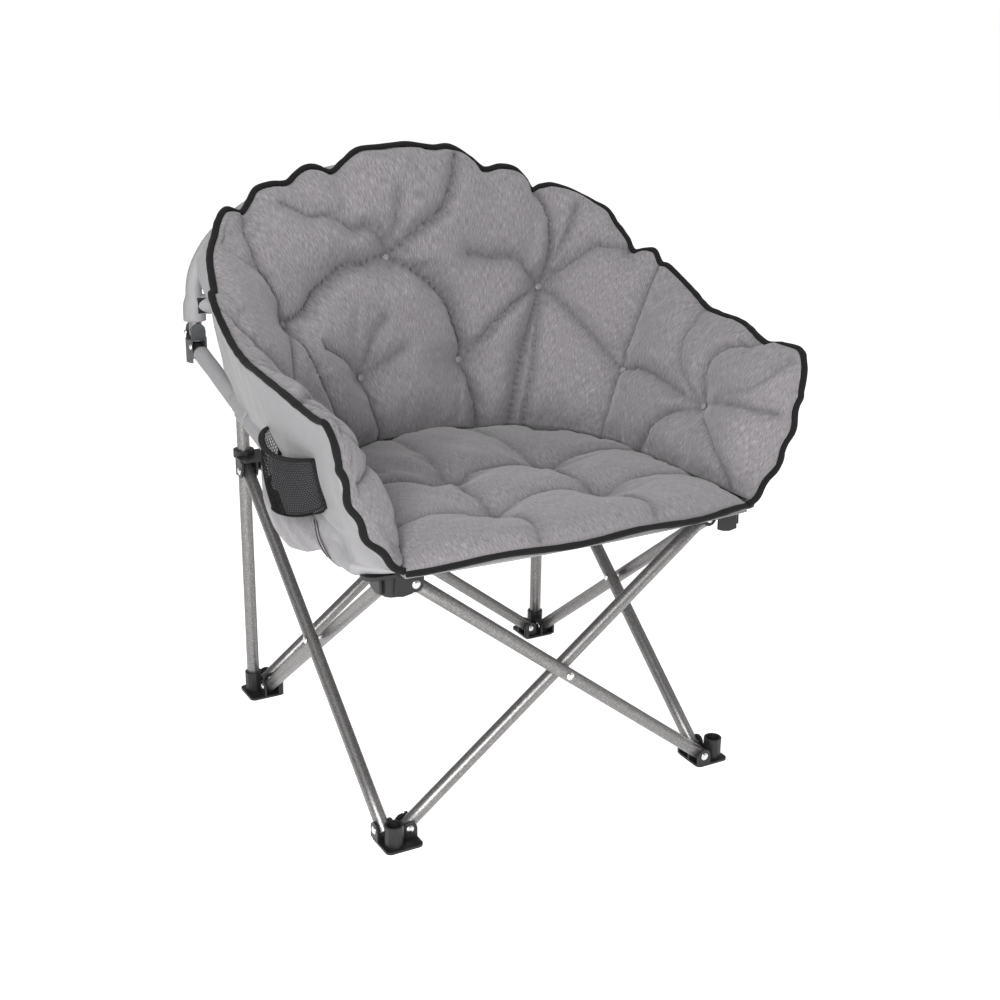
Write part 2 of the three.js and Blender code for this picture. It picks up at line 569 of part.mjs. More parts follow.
for (const [name, side] of [["left", -1], ["right", 1]]) {
  addNode(`rear_${name}_post`, postGeometry(side * POST_REACH), TUBE_STEEL);
  addNode(`${name}_hoop`, hoopGeometry(side), TUBE_STEEL);
  addNode(`${name}_hoop_clamp`, clampGeometry(side), BLACK_PLASTIC);
  addNode(`${name}_side_hinge`, knuckleGeometry(side), GREY_PLASTIC);
  addNode(`${name}_side_rail`, railGeometry(side), TUBE_STEEL);
}
addNode("hoop_top_hinge", topHingeGeometry(), GREY_PLASTIC);

// The bucket's lines run from an arm's front corner (station 0) to the middle of the back (last station).
// The same stations serve the rim, the seat's seam and the line where the shell meets rail or hoop.
const RIM_SHARES = [
  [0.967, -0.987, 0.463],
  [0.984, -0.793, 0.478],
  [1.0, -0.307, 0.503],
  [0.997, 0.067, 0.56],
  [0.962, 0.367, 0.662],
  [0.869, 0.633, 0.764],
  [0.678, 0.817, 0.855],
  [0.388, 0.883, 0.939],
  [0, 0.873, 1.0],
];
const SEAT_TURN_SHARES = [-1, -0.75, -0.17, 0.13, 0.32, 0.5, 0.66, 0.82, 1];
const LAST_STATION = RIM_SHARES.length - 1;
const ARM_SHARE = 0.44375; // of the stations of one side: there the arm pad meets the back pad
const SEAM_STATION = ARM_SHARE * LAST_STATION;

// The seat slopes so that its shell rests on the brackets' plates
function seatSurfaceHeight(y) {
  const rear = SEAT_REAR - SEAT_MIDDLE;
  const slope = (SEAT_CORNER_HEIGHT - SEAT_HEIGHT) / (rear + POST_REACH - FOOT_INSET);
  return SEAT_HEIGHT + slope * (rear - y);
}

// Point of the seat's seam for a turn share: -1 is the front corner, 0 the widest place and 1 the rear middle
function seatSeamPoint(share) {
  let x, y;
  if (share < 0) {
    x = SEAT_HALF_WIDTH - SEAT_FLARE * share;
    y = -SEAT_MIDDLE + (SEAT_FRONT - SEAT_MIDDLE) * share;
  } else {
    x = SEAT_HALF_WIDTH * Math.cos(QUARTER * share);
    y = -SEAT_MIDDLE + SEAT_REAR * Math.sin(QUARTER * share);
  }
  return new THREE.Vector3(x, y, seatSurfaceHeight(y));
}

function rimPoint([x, y, z]) {
  return new THREE.Vector3(x * RIM_HALF_WIDTH, y * RIM_REACH, SEAT_HEIGHT + z * RIM_RISE);
}

// A smooth line through one point for each station of the right half, mirrored for the left half
function stationLine(points) {
  const mirrored = points.slice(0, -1).reverse();
  const left = mirrored.map((p) => new THREE.Vector3(-p.x, p.y, p.z));
  const curve = new THREE.CatmullRomCurve3([...points, ...left], false, "catmullrom");
  const spans = 2 * LAST_STATION;
  return (station) => curve.getPoint(THREE.MathUtils.clamp(station / spans, 0, 1));
}

const rimLine = stationLine(RIM_SHARES.map(rimPoint));
const seamLine = stationLine(SEAT_TURN_SHARES.map(seatSeamPoint));

const NUDGE_SHARE = 0.01; // of a station

// Point of the bucket's wall, v from the seat's seam up to the rim, and its normal away from the sitter
function wallPoint(station, v) {
  return seamLine(station).lerp(rimLine(station), v);
}

function wallNormal(station, v) {
  const before = wallPoint(station - NUDGE_SHARE, v);
  const along = wallPoint(station + NUDGE_SHARE, v).sub(before);
  const up = rimLine(station).sub(seamLine(station));
  return along.cross(up).normalize();
}

// Where the shell touches the rail (by its reach along Y) or the hoop (by its turn), station by station
const RAIL_REACH_SHARES = [-0.9, -0.79, -0.31, 0.067, 0.44];
const HOOP_TURN_SHARES = [0.17, 0.4, 0.68, 1];
const LEAN_SHARE = 0.3; // of the wall's height, where its lean is taken for the shell's thickness
const TOUCH_RADIUS = TUBE_RADIUS + TOUCH_GAP;
const RAIL_TOUCH = THREE.MathUtils.degToRad(20); // the shell touches the rail this far above its inner side
const HOOP_TOUCH = THREE.MathUtils.degToRad(30); // and the hoop this far inwards from its front
const HOOP_EASE = 2.5; // more room between the shell and the hoop
const [HINGE_DENT_START, HINGE_DENT_FULL] = [0.72, 0.88]; // shares of the turn
const HINGE_DENT = 6; // the shell passes in front of the hoop's centre hinge

function railAxis(y) {
  const back = HOOP_PLANE - y;
  const x = HOOP_HALF_WIDTH - back * Math.tan(RAIL_TOE);
  return new THREE.Vector3(x, y, RAIL_PIVOT_HEIGHT - back * Math.tan(RAIL_SLOPE));
}

function railSidePoint(share) {
  const inwards = -TOUCH_RADIUS * Math.cos(RAIL_TOUCH);
  const up = TOUCH_RADIUS * Math.sin(RAIL_TOUCH);
  return railAxis(share * RIM_REACH).add(new THREE.Vector3(inwards, 0, up));
}

function hoopFrontPoint(share) {
  const turn = QUARTER * share;
  const away = TOUCH_RADIUS + HOOP_EASE;
  const inwards = away * Math.sin(HOOP_TOUCH);
  const x = (HOOP_HALF_WIDTH - inwards) * Math.cos(turn);
  const z = HOOP_BEND_HEIGHT + (HOOP_RISE - inwards) * Math.sin(turn);
  const dent = HINGE_DENT * THREE.MathUtils.smoothstep(share, HINGE_DENT_START, HINGE_DENT_FULL);
  return new THREE.Vector3(x, HOOP_PLANE - away * Math.cos(HOOP_TOUCH) - dent, z);
}

// A value between the two nearest entries of a table
function between(table, place) {
  const index = Math.min(Math.floor(place), table.length - 2);
  return table[index] + (table[index + 1] - table[index]) * (place - index);
}

function supportPoint(station) {
  const place = Math.min(station, 2 * LAST_STATION - station);
  const railStations = RAIL_REACH_SHARES.length - 1;
  const hoopStation = railStations + 1;
  let point;
  if (place <= railStations) point = railSidePoint(between(RAIL_REACH_SHARES, place));
  else if (place >= hoopStation) point = hoopFrontPoint(between(HOOP_TURN_SHARES, place - hoopStation));
  else {
    const hoopEnd = hoopFrontPoint(HOOP_TURN_SHARES[0]);
    point = railSidePoint(RAIL_REACH_SHARES[railStations]).lerp(hoopEnd, place - railStations);
  }
  if (station > LAST_STATION) point.x = -point.x;
  return point;
}

// The triangles of one patch of a grid. A patch of two by two cells keeps the points on the grid's border.
function patch(columns, rows, i, j, step) {
  const [far, top, middle] = [i + step, j + step, step / 2];
  const coarse = step > 1;
  const loop = [
    [i, j],
    ...(coarse && j === 0 ? [[i + middle, j]] : []),
    [far, j],
    ...(coarse && far === columns ? [[far, j + middle]] : []),
    [far, top],
    ...(coarse && top === rows ? [[i + middle, top]] : []),
    [i, top],
    ...(coarse && i === 0 ? [[i, j + middle]] : []),
  ];
  const [hubColumn, hubRow] = [i === 0 ? far : i, j === 0 ? top : j];
  const hub = loop.findIndex(([column, row]) => column === hubColumn && row === hubRow);
  const turned = [...loop.slice(hub), ...loop.slice(0, hub)];
  return turned.slice(2).map((corner, k) => [turned[0], turned[k + 1], corner]);
}

// A closed slab between two grids of points, front(u, v) and back(u, v), with u and v from 0 to 1
function slab(columns, rows, front, back, backStep = 1) {
  const positions = [];
  const index = [];
  const stride = rows + 1;
  const layer = (columns + 1) * stride;
  for (const surface of [front, back])
    for (let i = 0; i <= columns; i++)
      for (let j = 0; j <= rows; j++) positions.push(...surface(i / columns, j / rows).toArray());
  const quad = (a, b, c, d) => index.push(a, b, c, a, c, d);
  const place = ([i, j]) => i * stride + j;
  for (let i = 0; i < columns; i++)
    for (let j = 0; j < rows; j++)
      for (const corners of patch(columns, rows, i, j, 1)) index.push(...corners.map(place));
  for (let i = 0; i < columns; i += backStep)
    for (let j = 0; j < rows; j += backStep)
      for (const corners of patch(columns, rows, i, j, backStep))
        index.push(...corners.reverse().map((corner) => layer + place(corner)));
  for (let i = 0; i < columns; i++) {
    const low = i * stride;
    const high = low + rows;
    quad(low, layer + low, layer + low + stride, low + stride);
    quad(high, high + stride, layer + high + stride, layer + high);
  }
  for (let j = 0; j < rows; j++) {
    const end = columns * stride + j;
    quad(j, j + 1, layer + j + 1, layer + j);
    quad(end, layer + end, layer + end + 1, end + 1);
  }
  const geometry = new THREE.BufferGeometry();
  geometry.setAttribute("position", new THREE.Float32BufferAttribute(positions, 3));
  geometry.setIndex(index);
  geometry.computeVertexNormals();
  const body = solid(geometry);
  return geometryOf(body.volume() < 0 ? solid(flipped(geometry)) : body);
}

function flipped(geometry) {
  const turned = geometry.clone();
  const order = turned.index.array;
  for (let i = 0; i < order.length; i += 3) [order[i + 1], order[i + 2]] = [order[i + 2], order[i + 1]];
  return turned;
}

// Full in the middle and thin at the seams, from 0 to 1
const CROWN_SHARPNESS_SHARE = 0.42;
function crown(u, v, sharpness = CROWN_SHARPNESS_SHARE) {
  const hump = (s) => Math.pow(Math.max(0, 4 * s * (1 - s)), sharpness);
  return hump(u) * hump(v);
}

// How far the sewing pulls a pad in at a point: at the tufts, and along the folds between them
function sewnDepth(point, tufts, folds) {
  const depthNear = (places, depth, radius) => {
    const away = Math.min(...places.map((place) => point.distanceTo(place))) / radius;
    return depth * Math.exp(-away * away);
  };
  return Math.max(depthNear(tufts, TUFT_DEPTH, TUFT_RADIUS), depthNear(folds, FOLD_DEPTH, FOLD_RADIUS));
}

const FOLD_STEPS = 12;
function foldPoints(lines, place) {
  const shares = Array.from({ length: FOLD_STEPS + 1 }, (_, k) => k / FOLD_STEPS);
  const along = (from, to, share) => from.map((value, k) => value + (to[k] - value) * share);
  return lines.flatMap(([from, to]) => shares.map((share) => place(...along(from, to, share))));
}

// Buttons of the wall pads: station and height share
const BUTTON_SHARES = [
  [1.75, 0.5],
  [6.1, 0.53],
  [7.25, 0.29],
  [8, 0.66],
  [8.75, 0.29],
  [9.9, 0.53],
  [14.25, 0.5],
];
// Folds of the wall pads, each from one station and height share to another
const WALL_FOLD_SHARES = [
  [[7, 1], [8, 0.66]],
  [[8.74, 1], [8, 0.66]],
  [[8, 0.66], [7.25, 0.29]],
  [[8, 0.66], [9.9, 0.53]],
  [[6.18, 1], [6.1, 0.53]],
  [[6.1, 0.53], [6.2, 0]],
  [[10.1, 1], [9.9, 0.53]],
  [[9.9, 0.53], [9.85, 0]],
  [[6.1, 0.53], [7.25, 0.29]],
  [[8.75, 0.29], [9.9, 0.53]],
  [[7.25, 0.29], [7, 0]],
  [[8.75, 0.29], [8.85, 0]],
  [[6.1, 0.53], [3.6, 0.36]],
  [[9.9, 0.53], [12.4, 0.36]],
  [[1.3, 1], [1.75, 0.5]],
  [[1.75, 0.5], [3.5, 0.36]],
  [[1.75, 0.5], [2.4, 0]],
  [[14.7, 1], [14.25, 0.5]],
  [[14.25, 0.5], [12.5, 0.36]],
  [[14.25, 0.5], [13.6, 0]],
];
const PUFFS_PER_STATION = 0.9;
const WALL_PAD_FOOT_SHARE = 0.042; // share of the wall's height that the seat pad takes up

function wallPad(first, last, columns, rows) {
  const tufts = BUTTON_SHARES.map(([station, v]) => wallPoint(station, v));
  const folds = foldPoints(WALL_FOLD_SHARES, wallPoint);
  const stationAt = (u) => first + (last - first) * u;
  const rim = (station) => SCALLOP * Math.abs(Math.sin(2 * QUARTER * PUFFS_PER_STATION * station));
  const surface = (u, v, offset) => {
    const station = stationAt(u);
    const height = wallPoint(station, 0).distanceTo(wallPoint(station, 1));
    const top = 1 - (2 * PAD_BACK_GAP + SCALLOP - rim(station)) / height;
    const share = WALL_PAD_FOOT_SHARE + (top - WALL_PAD_FOOT_SHARE) * v;
    return wallPoint(station, share).addScaledVector(wallNormal(station, share), -offset);
  };
  const inner = (u, v) => {
    const dip = sewnDepth(surface(u, v, 0), tufts, folds);
    const thickness = PAD_EDGE + Math.max(0, PAD_CROWN * crown(u, v) - dip);
    return surface(u, v, PAD_BACK_GAP + thickness);
  };
  return slab(columns, rows, inner, (u, v) => surface(u, v, PAD_BACK_GAP), 2);
}

const ARM_COLUMNS = 14;
const ARM_ROWS = 12;
const BACK_COLUMNS = 42;
const BACK_ROWS = 14;
const seamGap = PAD_SEAM_GAP / (SEAT_HALF_WIDTH / 2);
const mirrorStation = 2 * LAST_STATION - SEAM_STATION;
const backPad = wallPad(SEAM_STATION + seamGap, mirrorStation - seamGap, BACK_COLUMNS, BACK_ROWS);
const rightArmPad = wallPad(0, SEAM_STATION, ARM_COLUMNS, ARM_ROWS);
const leftArmPad = wallPad(mirrorStation, 2 * LAST_STATION, ARM_COLUMNS, ARM_ROWS);
addNode("back_pad", backPad, HEATHER);
addNode("right_arm_pad", rightArmPad, HEATHER);
addNode("left_arm_pad", leftArmPad, HEATHER);

// Seat pads, front and rear, which meet at the fold line across the seat
const SEAT_TUFT_SHARES = [
  [-0.3, -0.01],
  [0.3, -0.01],
  [-0.32, -0.54],
  [0.32, -0.54],
];
// Folds of the seat pads, each from one place to another, as shares like the tufts' places
const SEAT_FOLD_SHARES = [
  [[-0.3, -0.01], [0.3, -0.01]],
  [[-0.32, -0.54], [0.32, -0.54]],
  [[-0.3, -0.01], [-0.32, -0.54]],
  [[0.3, -0.01], [0.32, -0.54]],
  [[-0.32, -0.54], [-0.36, -1.1]],
  [[0.32, -0.54], [0.32, -1.1]],
  [[-0.32, -0.54], [-1, -0.6]],
  [[0.32, -0.54], [1, -0.56]],
];
const SEAT_SHARPNESS_SHARE = 0.6;
const SHELL_COLUMNS = 12;
const BACK_SHELL_COLUMNS = 22;
const SHELL_ROWS = 8;
const SEAT_SHELL_ROWS = 5;
const SHELL_TUCK_SHARE = 0.45;
const FOLDS_PER_STATION = 1.3;
const SEAT_ROWS = 12;
const SEAT_COLUMNS = 20;

// Points of the two halves in plan, u from side to side and v away from the fold line, with the height
function seatFrontPoint(u, v) {
  const across = 2 * u - 1;
  const side = seatSeamPoint(-v);
  const puff = (1 - across * across) * v * v;
  const y = side.y - SEAT_BOW * puff;
  return new THREE.Vector3(across * side.x, y, seatSurfaceHeight(side.y) + SEAT_LIFT * puff);
}

function seatRearPoint(u, v) {
  const across = 2 * u - 1;
  const x = SEAT_HALF_WIDTH * across * Math.sqrt(1 - (v * v) / 2);
  const y = -SEAT_MIDDLE + SEAT_REAR * v * Math.sqrt(1 - (across * across) / 2);
  return new THREE.Vector3(x, y, seatSurfaceHeight(y));
}

const SEAT_HALVES = [
  ["front", seatFrontPoint, SEAT_FRONT - SEAT_MIDDLE],
  ["rear", seatRearPoint, SEAT_REAR],
];
function seatPlace(across, along) {
  const y = -SEAT_MIDDLE + along * (SEAT_FRONT - SEAT_MIDDLE);
  return new THREE.Vector3(across * SEAT_HALF_WIDTH, y, seatSurfaceHeight(y));
}
const seatTufts = SEAT_TUFT_SHARES.map((place) => seatPlace(...place));
const seatFolds = foldPoints(SEAT_FOLD_SHARES, seatPlace);

// A layer of the seat that stops a seam gap short of the fold line and of its edge
function seatLayer(plan, reach) {
  const seam = PAD_SEAM_GAP / reach;
  const side = PAD_SEAM_GAP / SEAT_HALF_WIDTH;
  return (u, v, offset) => {
    const at = plan((u - 0.5) * (1 - side) + 0.5, seam / 2 + v * (1 - 1.5 * seam));
    at.z += offset;
    return at;
  };
}

function seatPad(plan, reach) {
  const layer = seatLayer(plan, reach);
  const top = (u, v) => {
    const dip = sewnDepth(layer(u, v, 0), seatTufts, seatFolds);
    const fullness = crown(u, (1 + v) / 2, SEAT_SHARPNESS_SHARE);
    return layer(u, v, Math.max(0, SEAT_CROWN * fullness - dip) + SEAT_EDGE / 2);
  };
  return slab(SEAT_COLUMNS, SEAT_ROWS, top, (u, v) => layer(u, v, -SEAT_EDGE / 2), 2);
}

function seatShell(plan, reach) {
  const layer = seatLayer(plan, reach);
  const fit = -SEAT_EDGE / 2 - SHELL_GAP;
  const sag = (u, v) => SHELL_SAG * Math.min(1, crown(u, (1 + v) / 2, 1));
  const top = (u, v) => layer(u, v, fit - sag(u, v));
  return slab(SHELL_COLUMNS, SEAT_SHELL_ROWS, top, (u, v) => layer(u, v, fit - sag(u, v) - SHELL_THICKNESS));
}

for (const [name, plan, reach] of SEAT_HALVES) {
  addNode(`seat_${name}_pad`, seatPad(plan, reach), HEATHER);
  addNode(`seat_${name}_shell`, seatShell(plan, reach), SHELL_CLOTH);
}

// Outer shell of the walls, v from the seat's seam (0) over the rail or hoop (a half) up to the rim (1)
function shellPoint(station, v, inside) {
  const out = SHELL_GAP + (inside ? 0 : SHELL_THICKNESS);
  const inwards = inside ? -SHELL_THICKNESS : 0;
  const seam = seamLine(station).addScaledVector(wallNormal(station, 0), out);
  const rim = rimLine(station).addScaledVector(wallNormal(station, 1), out - PAD_BACK_GAP);
  const support = supportPoint(station).addScaledVector(wallNormal(station, LEAN_SHARE), inwards);
  if (v > 0.5) return support.lerp(rim, 2 * v - 1);
  const sway = Math.sin(4 * QUARTER * v);
  const hung = seam.lerp(support, 2 * v);
  const bottom = wallPoint(station, 0).z;
  const share = Math.max(0, (hung.z - bottom) / (wallPoint(station, 1).z - bottom));
  const tucked = wallPoint(station, share).addScaledVector(wallNormal(station, share), out - PAD_BACK_GAP);
  const fold = SHELL_FOLD * Math.abs(Math.sin(2 * QUARTER * FOLDS_PER_STATION * station));
  hung.lerp(tucked, SHELL_TUCK_SHARE * sway);
  return hung.addScaledVector(wallNormal(station, share), fold * sway);
}

function wallShell(first, last, columns) {
  const stationAt = (u) => first + (last - first) * u;
  return slab(
    columns,
    SHELL_ROWS,
    (u, v) => shellPoint(stationAt(u), v, true),
    (u, v) => shellPoint(stationAt(u), v, false),
  );
}

const backShell = wallShell(SEAM_STATION + seamGap, mirrorStation - seamGap, BACK_SHELL_COLUMNS);
addNode("back_shell", backShell, SHELL_CLOTH);
addNode("right_arm_shell", wallShell(0, SEAM_STATION, SHELL_COLUMNS), SHELL_CLOTH);
addNode("left_arm_shell", wallShell(mirrorStation, 2 * LAST_STATION, SHELL_COLUMNS), SHELL_CLOTH);

// Cup holder of mesh on the left, outside the rail: a half round pocket, open at the top
function pocketOutline(length, depth) {
  const shape = new THREE.Shape();
  shape.moveTo(0, length / 2);
  shape.absellipse(0, 0, depth, length / 2, QUARTER, 3 * QUARTER, false);
  shape.closePath();
  return shape;
}

function cupHolderGeometry() {
  const back = -(railAxis(CUP_MIDDLE).x + TOUCH_RADIUS + CUP_STANDOFF);
  const pocket = (length, depth, height) => {
    const options = { depth: height, bevelEnabled: false, curveSegments: ROUND };
    return new THREE.ExtrudeGeometry(pocketOutline(length, depth), options);
  };
  const bottom = CUP_TOP - CUP_HEIGHT;
  const outer = solid(pocket(CUP_LENGTH, CUP_DEPTH, CUP_HEIGHT).translate(back, CUP_MIDDLE, bottom));
  const room = pocket(CUP_LENGTH - 4 * CUP_WALL, CUP_DEPTH - 2 * CUP_WALL, CUP_HEIGHT);
  const hollow = solid(room.translate(back - CUP_WALL, CUP_MIDDLE, bottom + CUP_WALL));
  return geometryOf(outer.subtract(hollow));
}
addNode("cup_holder", cupHolderGeometry(), MESH_CLOTH);

// Pouch under the left rail, puffed out between its seams
const POUCH_COLUMNS = 8;
const POUCH_ROWS = 5;
const POUCH_BOTTOM_SHARES = [0.2, 0.62, 0.95, 0.8];
const POUCH_EDGE_SHARE = 0.3; // of the pouch's thickness, at its seams
const POUCH_SHARPNESS_SHARE = 0.5;

function pouchSurface(face) {
  return (u, v) => {
    const y = POUCH_FRONT + (POUCH_REAR - POUCH_FRONT) * u;
    const axis = railAxis(y);
    const depth = POUCH_DEPTH * between(POUCH_BOTTOM_SHARES, u * (POUCH_BOTTOM_SHARES.length - 1));
    const fullness = POUCH_EDGE_SHARE + (1 - POUCH_EDGE_SHARE) * crown(u, v, POUCH_SHARPNESS_SHARE);
    const puff = (POUCH_THICKNESS / 2) * fullness;
    const top = axis.z - TOUCH_RADIUS / Math.cos(RAIL_SLOPE);
    return new THREE.Vector3(-axis.x + face * puff, y, top - depth * (1 - v));
  };
}
addNode("side_pouch", slab(POUCH_COLUMNS, POUCH_ROWS, pouchSurface(-1), pouchSurface(1)), HEATHER);

// The origin is on the floor at the middle of the chair's box
const extent = new THREE.Box3().setFromObject(chair);
chair.position.set(0, -(extent.min.y + extent.max.y) / 2, 0);

export default chair;
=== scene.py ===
import json
import math

import bmesh
import bpy
import numpy as np
from mathutils import Matrix, Vector


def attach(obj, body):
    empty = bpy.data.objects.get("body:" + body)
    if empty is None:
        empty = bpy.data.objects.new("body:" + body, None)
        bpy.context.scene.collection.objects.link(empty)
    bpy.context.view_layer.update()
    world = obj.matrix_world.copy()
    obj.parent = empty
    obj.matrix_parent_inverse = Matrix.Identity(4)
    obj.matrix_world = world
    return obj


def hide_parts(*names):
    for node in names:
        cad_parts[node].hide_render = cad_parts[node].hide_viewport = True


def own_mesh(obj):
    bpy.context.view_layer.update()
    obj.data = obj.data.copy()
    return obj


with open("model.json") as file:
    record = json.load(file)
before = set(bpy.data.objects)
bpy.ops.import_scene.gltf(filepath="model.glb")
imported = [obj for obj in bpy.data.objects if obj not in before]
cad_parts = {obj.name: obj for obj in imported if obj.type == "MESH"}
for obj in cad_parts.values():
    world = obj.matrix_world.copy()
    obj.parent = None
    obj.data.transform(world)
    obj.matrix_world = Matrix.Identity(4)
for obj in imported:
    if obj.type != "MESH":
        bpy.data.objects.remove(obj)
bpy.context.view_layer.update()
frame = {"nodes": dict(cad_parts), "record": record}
nodes = frame["nodes"]

# Sizes, in millimetres, as in the part's source
SHIFT = 25.192  # the source moves the whole chair along Y by this
HIGH_PIVOT, LOW_PIVOT = 380.5, 16.5
PIVOT_REACH, INNER_REACH, OUTER_REACH, PAIR_REACH = 234, 241.8, 264.2, 253
POST_REACH = 260
TUBE_RADIUS, TUBE_WALL, TUBE_END = 9.5, 1.5, 8
HOOP_X, HOOP_Y, HOOP_CLAMP, HOOP_BEND, HOOP_LEG, HOOP_TOP = 316, 288, 629, 645, 591, 811
HOOP_PIVOT_X, HOOP_END_X, SLEEVE_END_X = 26, 18, 46  # how far these end from the chair's middle
POST_FOOT, POST_TOP = 3.7, 643
RIVET_GRIP, CROSS_GRIP = 26.4, 41.4
RAIL_PIVOT, RAIL_LENGTH = 563, 505
RAIL_SLOPE, RAIL_TOE = math.radians(15.6), math.radians(1.8)
SEAT_HALF, SEAT_FLARE, SEAT_REAR, SEAT_MIDDLE = 250, 12, 235, 58
SEAT_FRONT, SEAT_BOW, SEAT_HEIGHT, SEAT_LIFT = 302, 54, 399, 20
SEAT_CORNER = 399.5 + 0.3 + 2.5 + 0.5 + 5
RIM = np.array([
    [0.967, -0.987, 0.463], [0.984, -0.793, 0.478], [1.0, -0.307, 0.503], [0.997, 0.067, 0.56],
    [0.962, 0.367, 0.662], [0.869, 0.633, 0.764], [0.678, 0.817, 0.855], [0.388, 0.883, 0.939],
    [0, 0.873, 1.0],
]) * [366, 300, 438] + [0, 0, SEAT_HEIGHT]
SEAT_TURNS = [-1, -0.75, -0.17, 0.13, 0.32, 0.5, 0.66, 0.82, 1]
LAST = 8
SEAM = 3.55  # station of the seam between the back and an arm
MIRROR = 2 * LAST - SEAM


def metres(points):
    return (np.asarray(points, float) + [0, SHIFT, 0]) / 1000


def smooth(x, low, high):
    t = np.clip((x - low) / (high - low), 0, 1)
    return t * t * (3 - 2 * t)


# The bucket's lines
def seat_height(y):
    rear = SEAT_REAR - SEAT_MIDDLE
    return SEAT_HEIGHT + (SEAT_CORNER - SEAT_HEIGHT) / (rear + 223) * (rear - y)


def seat_seam(turn):
    if turn < 0:
        x, y = SEAT_HALF - SEAT_FLARE * turn, -SEAT_MIDDLE + (SEAT_FRONT - SEAT_MIDDLE) * turn
    else:
        x = SEAT_HALF * math.cos(math.pi / 2 * turn)
        y = -SEAT_MIDDLE + SEAT_REAR * math.sin(math.pi / 2 * turn)
    return [x, y, seat_height(y)]


def smooth_line(points):
    """A Catmull-Rom line through the points; a place is 0 at the first and n - 1 at the last."""
    points = np.asarray(points, float)
    ends = np.vstack([2 * points[0] - points[1], points, 2 * points[-1] - points[-2]])

    def at(place):
        place = np.clip(np.asarray(place, float), 0, len(points) - 1)
        i = np.minimum(place.astype(int), len(points) - 2)
        t = (place - i)[..., None]
        a, b, c, d = ends[i], ends[i + 1], ends[i + 2], ends[i + 3]
        m, n = (c - a) / 2, (d - b) / 2
        return (2 * b - 2 * c + m + n) * t**3 + (3 * c - 3 * b - 2 * m - n) * t**2 + m * t + b

    return at


def both_sides(points):
    points = np.asarray(points, float)
    return smooth_line(np.vstack([points, (points * [-1, 1, 1])[-2::-1]]))


rim_line = both_sides(RIM)
seam_line = both_sides([seat_seam(t) for t in SEAT_TURNS])


def wall(station, v):
    v = np.asarray(v, float)[..., None]
    return seam_line(station) * (1 - v) + rim_line(station) * v


def unit(vectors):
    return vectors / np.maximum(np.linalg.norm(vectors, axis=-1, keepdims=True), 1e-9)


def wall_normal(station, v):
    """Away from the sitter."""
    along = wall(station + 0.01, v) - wall(station - 0.01, v)
    return unit(np.cross(along, rim_line(station) - seam_line(station)))


def rail_axis(y):
    """Points of the right rail's middle line at places along Y."""
    back = HOOP_Y - np.asarray(y, float)
    x = HOOP_X - back * math.tan(RAIL_TOE)
    return np.stack([x, y + 0 * back, RAIL_PIVOT - back * math.tan(RAIL_SLOPE)], -1)


def rail_line(sign):
    """A rail's hinge, and its direction to the front."""
    hinge = np.array([sign * HOOP_X, HOOP_Y, RAIL_PIVOT])
    return hinge, unit(np.array([-sign * math.tan(RAIL_TOE), -1, -math.tan(RAIL_SLOPE)]))


HOOP_RISE = (HOOP_TOP - HOOP_BEND) / math.sqrt(1 - (HOOP_PIVOT_X / HOOP_X) ** 2)


def hoop_line(sign, low, end_x, leg_count, arc_count):
    """Middle line of half the hoop, from a height up to a distance from the chair's middle."""
    leg = np.linspace([sign * HOOP_X, HOOP_Y, low], [sign * HOOP_X, HOOP_Y, HOOP_BEND], leg_count)
    turn = np.linspace(0, math.acos(end_x / HOOP_X), arc_count)[1:]
    y = np.full(len(turn), float(HOOP_Y))
    arc = np.stack([sign * HOOP_X * np.cos(turn), y, HOOP_BEND + HOOP_RISE * np.sin(turn)], -1)
    return np.vstack([leg, arc])


def support(station):
    """Where the shell touches the rail or the hoop."""
    station = np.asarray(station, float)
    place = np.minimum(station, 2 * LAST - station)
    reach = np.interp(place, range(5), [-0.9, -0.79, -0.31, 0.067, 0.44]) * 300
    touch = TUBE_RADIUS + 0.3
    rail = rail_axis(reach) + [-touch * math.cos(math.radians(20)), 0, touch * math.sin(math.radians(20))]
    share = np.interp(place, range(5, 9), [0.17, 0.4, 0.68, 1])
    away = touch + 2.5
    inwards = away / 2
    dent = 6 * smooth(share, 0.72, 0.88)
    turn = math.pi / 2 * share
    hoop = np.stack([
        (HOOP_X - inwards) * np.cos(turn),
        HOOP_Y - away * math.cos(math.radians(30)) - dent,
        HOOP_BEND + (HOOP_RISE - inwards) * np.sin(turn),
    ], -1)
    mix = np.clip(place - 4, 0, 1)[..., None]
    point = rail * (1 - mix) + hoop * mix
    point[..., 0] *= np.where(station > LAST, -1, 1)
    return point


# Meshes
def mesh_object(name, verts, faces, uvs=None, smooth_shade=True):
    mesh = bpy.data.meshes.new(name)
    mesh.from_pydata([tuple(v) for v in verts], [], [tuple(int(i) for i in f) for f in faces])
    mesh.update()
    if uvs is not None:
        layer = mesh.uv_layers.new(name="cloth")
        loops = np.zeros(len(mesh.loops), int)
        mesh.loops.foreach_get("vertex_index", loops)
        layer.data.foreach_set("uv", np.asarray(uvs, np.float32)[loops].ravel())
    if smooth_shade:
        mesh.shade_smooth()
    obj = bpy.data.objects.new(name, mesh)
    bpy.context.scene.collection.objects.link(obj)
    return obj


def grid_faces(columns, rows, start=0, turned=False):
    """Quads of a grid of columns x rows points, stored column by column."""
    faces = []
    for i in range(columns - 1):
        for j in range(rows - 1):
            a = start + i * rows + j
            b = a + rows
            faces.append((a, a + 1, b + 1, b) if turned else (a, b, b + 1, a + 1))
    return faces


